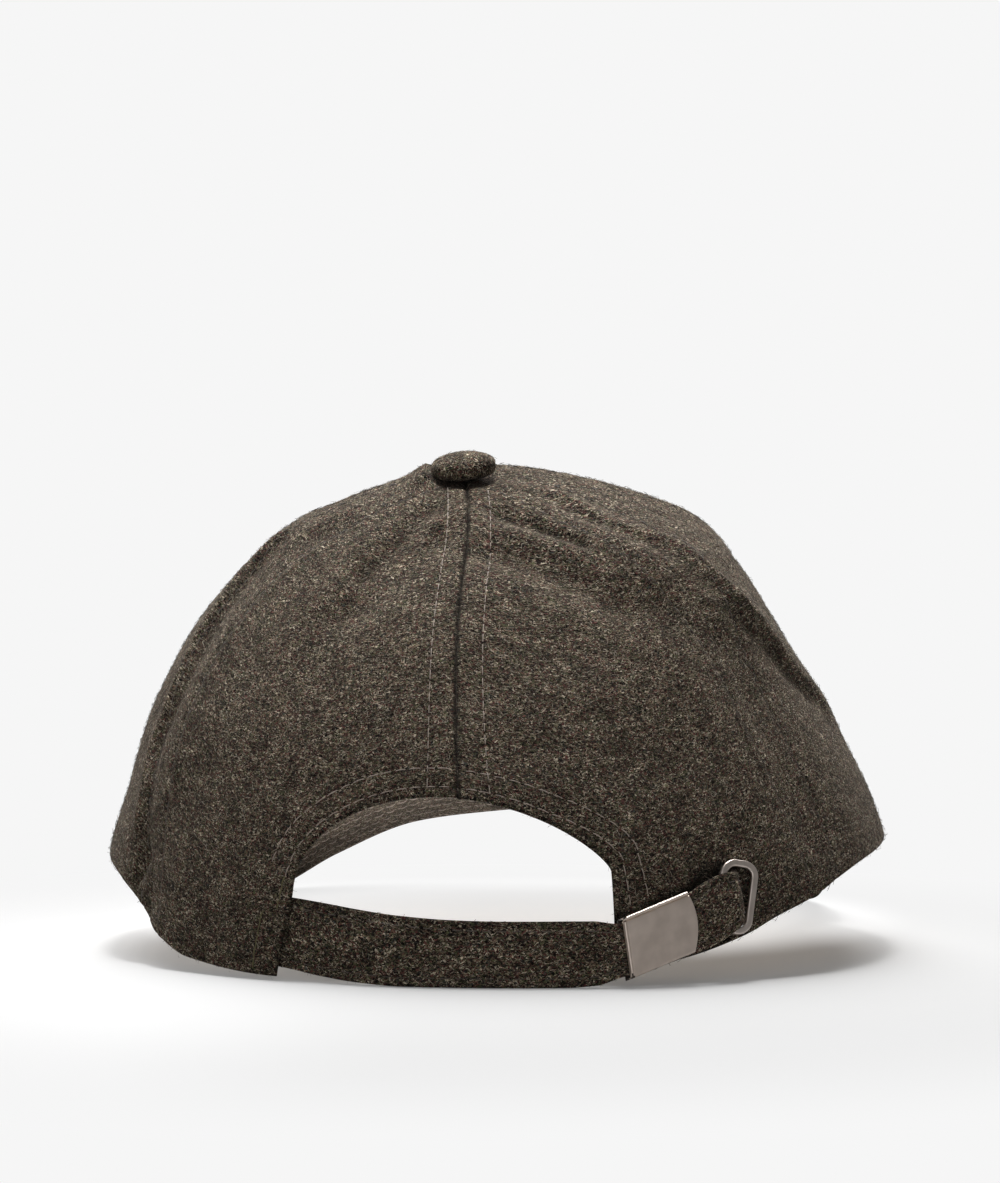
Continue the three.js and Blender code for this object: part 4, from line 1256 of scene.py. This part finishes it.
def peak_mesh(pattern_place=700):
    last = PEAK["last_share"]
    share = np.linspace(-last, last, 240)[:, None]
    t = lerp(-PEAK["tuck"], 1, 1 - crowded(PEAK["depth"], 40, True, False)[::-1])[None, :]
    from_front = (1 - t) * PEAK["depth"]
    from_edge = np.minimum(from_front, (last - np.abs(share)) * PEAK["flank"])
    drop = turned_edge(from_edge, PEAK["thickness"] / 2)
    dent = sum(soft_bump(from_front - row, 0.22, 0.9) for row in PEAK_ROWS)
    top, _ = peak_face(share, t, PEAK["thickness"] - drop - dent)
    bottom, _ = peak_face(share, t, drop)
    uv = along_and_across(running_length(top[:, -1])[:, None] + pattern_place, t * PEAK["depth"])
    return wall_mesh("peak_cloth", top, bottom, uv)


finished_piece("peak_cloth", peak_mesh(), wool, "cap", ["peak"])


def peak_row(distance, raise_by, flip):
    share = np.linspace(-PEAK["sewn_share"], PEAK["sewn_share"], 220)
    line, normal = peak_face(share, np.full(share.shape, 1 - distance / PEAK["depth"]), raise_by)
    return line, normal * flip


peak_sewing = [peak_row(distance, PEAK["thickness"] - 0.12, 1) for distance in PEAK_ROWS]
peak_sewing += [peak_row(distance, -0.05, -1) for distance in PEAK_ROWS]
sew("stitches_peak", peak_sewing)


# Button

def button_pieces(pattern_place=500):
    """A covered button, its cloth drawn in under its edge in small gathers: its mesh, and its upper face."""
    turns = np.linspace(0, 2 * math.pi, 97)[None, :]
    profile = [(0.0, -1.2), (3.0, -1.2), (6.2, -0.7), (7.5, -0.3), (8.3, 0.4), (8.7, 1.4)]
    upper_from = len(profile)
    rise = BUTTON["height"] - BUTTON["edge"]
    for angle in np.linspace(0.12, TOP, 14)[:-1]:
        profile.append((BUTTON["radius"] * math.cos(angle) ** 0.9, BUTTON["edge"] + rise * math.sin(angle)))
    profile.append((0.0, BUTTON["height"]))
    profile = np.array(profile)
    radius, height = profile[:, :1], profile[:, 1:]
    gather = soft_bump(height - 0.2, 1.0, 1.4) * (radius / BUTTON["radius"])
    radius = radius * (1 + 0.022 * gather * np.sin(turns * 17 + 1.3 * np.sin(turns * 3)))
    across = [radius * np.cos(turns), radius * np.sin(turns)]
    points = np.stack(np.broadcast_arrays(*across, height), axis=-1)
    points = points + 0.18 * ripple(points, 9, 31)[..., None] * np.array([0.4, 0.4, 1.0])
    points[:, -1] = points[:, 0]
    points[0] = points[0].mean(axis=0)
    points[-1] = points[-1].mean(axis=0)
    lean = Matrix.Rotation(-math.radians(BUTTON["lean"]), 3, "X")
    tilt = Matrix.Rotation(math.radians(BUTTON["tilt"]), 3, "Y")
    seat = BUTTON_SEAT[2] + BUTTON["lift"] - BUTTON["sunk"]
    points = points @ np.array(tilt @ lean).T + np.array([*BUTTON_SEAT[:2], seat])
    rows, columns = points.shape[:2]
    length = running_length(profile)
    from_top = (length[-1] - length)[:, None]
    uv = np.stack([pattern_place + from_top * np.cos(turns), from_top * np.sin(turns)], axis=-1)
    # Painted shade under the button's edge and a painted highlight on its top
    painted_shading = np.broadcast_to(lerp(0.4, 1.15, smooth_step(-0.8, 1.6, height)), (rows, columns))
    faces = grid_faces(rows, columns)
    mesh = mesh_of("button_cloth", points.reshape(-1, 3), faces, uv.reshape(-1, 2), painted_shading=painted_shading)
    return mesh, points[upper_from:-1]


button_cloth, button_face = button_pieces()
finished_piece("button_cloth", button_cloth, wool, "cap", ["top_button"])
fuzz("fibres_button", button_face, per_mm2=0.8, length=0.8)


# Clasp and ring

clasp_axes = wall_axes(CLASP["bearing"], CLASP["height"], CLASP["climb"], 0.0)
ring_axes = wall_axes(RING["bearing"], RING["height"], RING["climb"], RING["out"])
HINGE_X = -CLASP["length"] / 2 + LID["barrel"]
HINGE_Z = LID["out"] + LID["barrel"]
METAL_PATTERN = 40
METAL_SHARP = 35


def on_clasp(points):
    """Places on the clasp, whose left end slants."""
    slanted = points + CLASP["slant"] * points[..., 1:2] * np.array([1.0, 0, 0])
    return placed(slanted, clasp_axes)


def arc(centre, radius, start, end, steps):
    angles = np.radians(np.linspace(start, end, steps))
    return [(centre[0] + radius * math.cos(a), centre[1] + radius * math.sin(a)) for a in angles]


def clasp_lid():
    """The lid: a plate, convex at its right end, with a rolled upper edge and a turned-down left end."""
    half = CLASP["width"] / 2
    face = LID["out"] + LID["thickness"]
    roll = 0.42
    section = [(-half + 0.1, face - 0.75), (-half, face - 0.5)]
    section += arc((-half + 0.35, face - 0.35), 0.35, 180, 90, 5)[1:]
    section += [(y, face) for y in np.linspace(-half + 0.8, half - 1.35, 14)]
    section += [(half - 1.2, face - 0.1), (half - 1.05, face - 0.32), (half - 0.95, face - 0.32)]
    section += arc((half - roll - 0.1, face - 0.12), roll, 165, -10, 12)
    section += [(half - 0.02, face - 0.9)]
    y, height = np.array(section).T
    left, right = HINGE_X - 0.55, CLASP["length"] / 2 - LID["bow"]
    end = (right + LID["bow"] * (1 - (y / half) ** 2))[:, None]
    left_lines = left + np.broadcast_to([0, 0.08, 0.2, 0.4, 0.7], (len(y), 5))
    right_lines = end - np.broadcast_to([0.35, 0.2, 0.1, 0.04], (len(y), 4))
    between = lerp(left, end, np.linspace(0, 1, 26)[None, :])[:, 2:-2]
    x = np.sort(np.concatenate([left_lines, between, right_lines], axis=1), axis=1)
    z = height[:, None] - turned_edge(x - left, 0.7) - turned_edge(end - x, 0.18)
    z += 0.16 * (1 - (2 * (x - left) / (end - left) - 1) ** 2)
    outer = np.stack([x, np.broadcast_to(y[:, None], x.shape), z], axis=-1)
    down = unit(np.cross(np.gradient(outer, axis=1), np.gradient(outer, axis=0)))
    down *= np.sign(-down[len(y) // 2, 10, 2])
    inner = outer + down * 0.38
    uv = outer[..., :2] + METAL_PATTERN
    return wall_mesh("clasp_lid_plate", on_clasp(outer), on_clasp(inner), uv, METAL_SHARP)


def barrel(radius, length, sides=24):
    """A round bar along the clasp's width at the hinge, as a closed grid."""
    rounds = np.linspace(0, 2 * math.pi, sides + 1)
    end, soft = length / 2, 0.1
    rings = []
    for r, y in ((0, -end), (radius - soft, -end), (radius, soft - end), (radius, end - soft),
                 (radius - soft, end), (0, end)):
        rings.append(np.stack([
            HINGE_X + r * np.cos(rounds), np.full(sides + 1, y), HINGE_Z + r * np.sin(rounds),
        ], axis=-1))
    return np.array(rings)


def clasp_mesh(name, grids):
    """Several closed grids as one mesh on the clasp."""
    points, faces = [], []
    for grid in grids:
        faces += grid_faces(*grid.shape[:2], len(points))
        points.extend(grid.reshape(-1, 3))
    points = np.array(points)
    return mesh_of(name, on_clasp(points), faces, points[:, :2] + METAL_PATTERN, METAL_SHARP)


def box_grid(low, high):
    """A box with a softened outline, as a closed grid round its middle line."""
    soft = 0.08
    x0, y0, z0 = low
    x1, y1, z1 = high
    outline = np.array([
        (x0 + soft, y0), (x1 - soft, y0), (x1, y0 + soft), (x1, y1 - soft),
        (x1 - soft, y1), (x0 + soft, y1), (x0, y1 - soft), (x0, y0 + soft), (x0 + soft, y0),
    ])
    centre = np.array([(x0 + x1) / 2, (y0 + y1) / 2])
    rows = []
    for share, z in ((0.0, z0), (1.0, z0), (1.0, z1), (0.0, z1)):
        rows.append(np.concatenate([lerp(centre, outline, share), np.full((9, 1), z)], axis=1))
    return np.array(rows)


def clasp_base():
    """The base under the strap: a plate, two ears at its left corners and the pin between them."""
    across, along = CLASP["width"] / 2, CLASP["length"] / 2
    under, ear = CLASP["out"], 0.25
    plate = box_grid((-along + 0.1, -across, under), (along - 0.6, across, under + CLASP["plate"]))
    ears = [
        box_grid((HINGE_X - 0.45, side - ear, under), (HINGE_X + 0.45, side + ear, HINGE_Z + 0.42))
        for side in (ear - across, across - ear)
    ]
    return clasp_mesh("clasp_base_metal", [plate, *ears, barrel(0.25, CLASP["width"] - 0.4, 12)])


finished_piece("clasp_lid_metal", clasp_lid(), gunmetal, "lid", ["clasp_lid"])
lid_barrel = clasp_mesh("clasp_barrel_metal", [barrel(0.46, 12.6)])
finished_piece("clasp_barrel_metal", lid_barrel, gunmetal, "lid")
# The clasp's base takes the darker copy of the gunmetal, as painted shadow
finished_piece("clasp_base_metal", clasp_base(), shadowed_gunmetal, "cap", ["clasp_base"])


def slot_ring():
    """A flat ring with rounded corners and a softly rounded section."""
    x, y, rounding = RING["width"] / 2, RING["length"] / 2, RING["corner"]
    path = []
    for sx, sy, start in ((1, 1, 0), (-1, 1, 90), (-1, -1, 180), (1, -1, 270)):
        centre = (sx * (x - rounding), sy * (y - rounding))
        for px, py in arc(centre, 1.0, start, start + 90, 14):
            path.append((px - centre[0], py - centre[1], *centre))
    path.append(path[0])
    path = np.array(path)
    direction, centre = path[:, :2], path[:, 2:]
    flat, edge = RING["bar"] / 2, RING["thickness"] / 2
    turn = np.linspace(0, 2 * math.pi, 25)
    across = flat * np.sign(np.cos(turn)) * np.abs(np.cos(turn)) ** 0.55
    through_ring = edge * np.sign(np.sin(turn)) * np.abs(np.sin(turn)) ** 0.8
    reach = rounding - flat + across
    ring = centre[:, None] + direction[:, None] * reach[None, :, None]
    height = np.broadcast_to(edge + through_ring, ring.shape[:2])
    points = np.concatenate([ring, height[..., None]], axis=-1)
    points[..., 0] += RING["slant"] * points[..., 1]
    uv = along_and_across(running_length(ring[:, 0])[:, None] + 80, turn[None, :] * 0.8)
    faces = grid_faces(*points.shape[:2])
    return mesh_of("ring_metal", placed(points.reshape(-1, 3), ring_axes), faces, uv.reshape(-1, 2))


finished_piece("slot_ring_metal", slot_ring(), ring_metal, "cap", ["slot_frame"])


# The studio: a pale floor lightened by painted light near the cap, two wide lights, a spot on the crown's
# top and a glow inside the crown

BACKDROP = 0.922
# The floor's glow is painted light that only the camera sees: an even share that lifts the floor and
# lightens the cap's shadow, a pool under the crown and its peak, and a lightening to the left
FLOOR = {
    "paper": 0.46, "bounce": 0.35, "glow": 0.11,
    "inside": 0.56, "inside_middle": (0, -0.03, 0), "inside_fade": (0.07, 0.115),
    "left": 0.13, "left_fade": (0.0, 0.09),
    "far_middle": (0, 0.1, 0), "far_fade": (0.1, 0.27),
}


def fades(tree, value, start, end, low=0.0, high=1.0):
    """A smooth change from one value to another while an input goes from start to end."""
    return node(tree, "ShaderNodeMapRange", {"Value": value, 1: start, 2: end, 3: low, 4: high},
                interpolation_type="SMOOTHSTEP").outputs[0]


def distance_from(tree, place, middle):
    away = vector_maths(tree, "SUBTRACT", place, middle)
    return node(tree, "ShaderNodeVectorMath", {0: away}, operation="LENGTH").outputs["Value"]


def seen_or_lit(tree, lit, seen):
    """One shader for what the camera sees, and another for the light that it gives."""
    path = node(tree, "ShaderNodeLightPath")
    return node(tree, "ShaderNodeMixShader", {0: path.outputs["Is Camera Ray"], 1: lit, 2: seen}).outputs[0]


def floor_finish(name):
    """Pale paper that takes the cap's shadow, lightened by painted light near the cap, most under the crown
    and to its left, and farther off becomes one even tone with the air.
    """
    material, tree = blank_material(name)
    place = node(tree, "ShaderNodeTexCoord").outputs["Object"]
    far = fades(tree, distance_from(tree, place, FLOOR["far_middle"]), *FLOOR["far_fade"])
    inside = fades(tree, distance_from(tree, place, FLOOR["inside_middle"]), *FLOOR["inside_fade"],
                   FLOOR["glow"] + FLOOR["inside"], FLOOR["glow"])
    sideways = node(tree, "ShaderNodeSeparateXYZ", {0: place}).outputs[0]
    left = fades(tree, sideways, *FLOOR["left_fade"], high=FLOOR["left"])
    paper = node(tree, "ShaderNodeBsdfDiffuse", {"Color": grey(FLOOR["paper"])})
    # Painted light, seen only by the camera
    glow = node(tree, "ShaderNodeEmission", {
        "Color": grey(1.0), "Strength": maths(tree, "ADD", inside, left),
    })
    near = node(tree, "ShaderNodeAddShader", {0: paper.outputs[0], 1: glow.outputs[0]})
    even = node(tree, "ShaderNodeEmission", {"Color": grey(BACKDROP)})
    shown = node(tree, "ShaderNodeMixShader", {0: far, 1: near.outputs[0], 2: even.outputs[0]})
    bounce = node(tree, "ShaderNodeBsdfDiffuse", {"Color": grey(FLOOR["bounce"])})
    surface = seen_or_lit(tree, bounce.outputs[0], shown.outputs[0])
    node(tree, "ShaderNodeOutputMaterial", {"Surface": surface})
    return material


def floor(size):
    corners = [(-size, -size, 0), (size, -size, 0), (size, size, 0), (-size, size, 0)]
    mesh = bpy.data.meshes.new("floor")
    mesh.from_pydata(corners, [], [(0, 1, 2, 3)])
    mesh.materials.append(floor_finish("pale paper"))
    piece = bpy.data.objects.new("floor", mesh)
    bpy.context.scene.collection.objects.link(piece)


def lamp(name, kind, power, place, towards):
    """A light at a place that shines away from the direction towards, and its settings."""
    light = bpy.data.lights.new(name, kind)
    light.energy = power
    made = bpy.data.objects.new(name, light)
    made.location = place
    made.rotation_euler = towards.to_track_quat("Z", "Y").to_euler()
    bpy.context.scene.collection.objects.link(made)
    return made, light


def soft_sun(name, strength, softness, azimuth, elevation):
    """A wide, even light. Azimuth 0 shines from the back of the cap, 90 from its left side."""
    around, above = math.radians(azimuth), math.radians(elevation)
    towards = Vector((math.sin(around), math.cos(around), math.tan(above))).normalized()
    _, light = lamp(name, "SUN", strength, towards * 2, towards)
    light.angle = math.radians(softness)


def top_spot(power, place, target, width=24, size=0.14):
    """A narrow soft spot from above, on the crown's top and the button."""
    _, light = lamp("top_spot", "SPOT", power, place, Vector(place) - Vector(target))
    light.shadow_soft_size = size
    light.spot_size = math.radians(width)
    light.spot_blend = 1.0


def inside_bounce(power, size, place):
    """Light that the pale floor throws up into the hollow crown."""
    made, light = lamp("inside_bounce", "AREA", power, place, Vector((0, 0, -1)))
    light.size = size
    made.visible_camera = False


def studio_air(seen, lit):
    """A pale surround: one brightness where it shows, and a lower one for the light that it gives."""
    world = bpy.data.worlds.new("studio")
    world.use_nodes = True
    tree = world.node_tree
    tree.nodes.clear()
    shown = node(tree, "ShaderNodeBackground", {"Color": grey(seen)})
    given = node(tree, "ShaderNodeBackground", {"Color": grey(lit)})
    surface = seen_or_lit(tree, given.outputs[0], shown.outputs[0])
    node(tree, "ShaderNodeOutputWorld", {"Surface": surface})
    bpy.context.scene.world = world


def camera():
    """The photograph's viewing angle: from behind, a little above and to one side, with a long lens."""
    focal_pixels, image_height, film = 5470, 1183, 36.0
    azimuth, pitch = math.radians(184.5), math.radians(3.2)
    target, distance = Vector((2.06, -5.0, 92.43)) * MM, 1.5
    right = Vector((math.cos(azimuth), math.sin(azimuth), 0))
    back = Vector((math.sin(azimuth), -math.cos(azimuth), math.tan(pitch))).normalized()
    up = back.cross(right)
    data = bpy.data.cameras.new("camera")
    data.sensor_fit = "VERTICAL"
    data.sensor_height = film
    data.lens = focal_pixels / image_height * film
    data.clip_start, data.clip_end = 0.1, 200
    data.dof.use_dof = False
    made = bpy.data.objects.new("camera", data)
    matrix = Matrix((right, up, back)).transposed().to_4x4()
    matrix.translation = target + back * distance
    made.matrix_world = matrix
    bpy.context.scene.collection.objects.link(made)
    bpy.context.scene.camera = made


floor(60)
soft_sun("overhead", 5.0, 50, 168, 50)
soft_sun("behind_camera", 0.37, 50, 10, 22)
top_spot(28, (0.03, -0.12, 0.75), (0.011, 0.03, 0.12))
inside_bounce(0.5, 0.1, (0.0, 0.01, 0.004))
studio_air(BACKDROP, 0.2)
camera()
bpy.context.scene.view_settings.view_transform = "Standard"
bpy.context.scene.view_settings.look = "None"
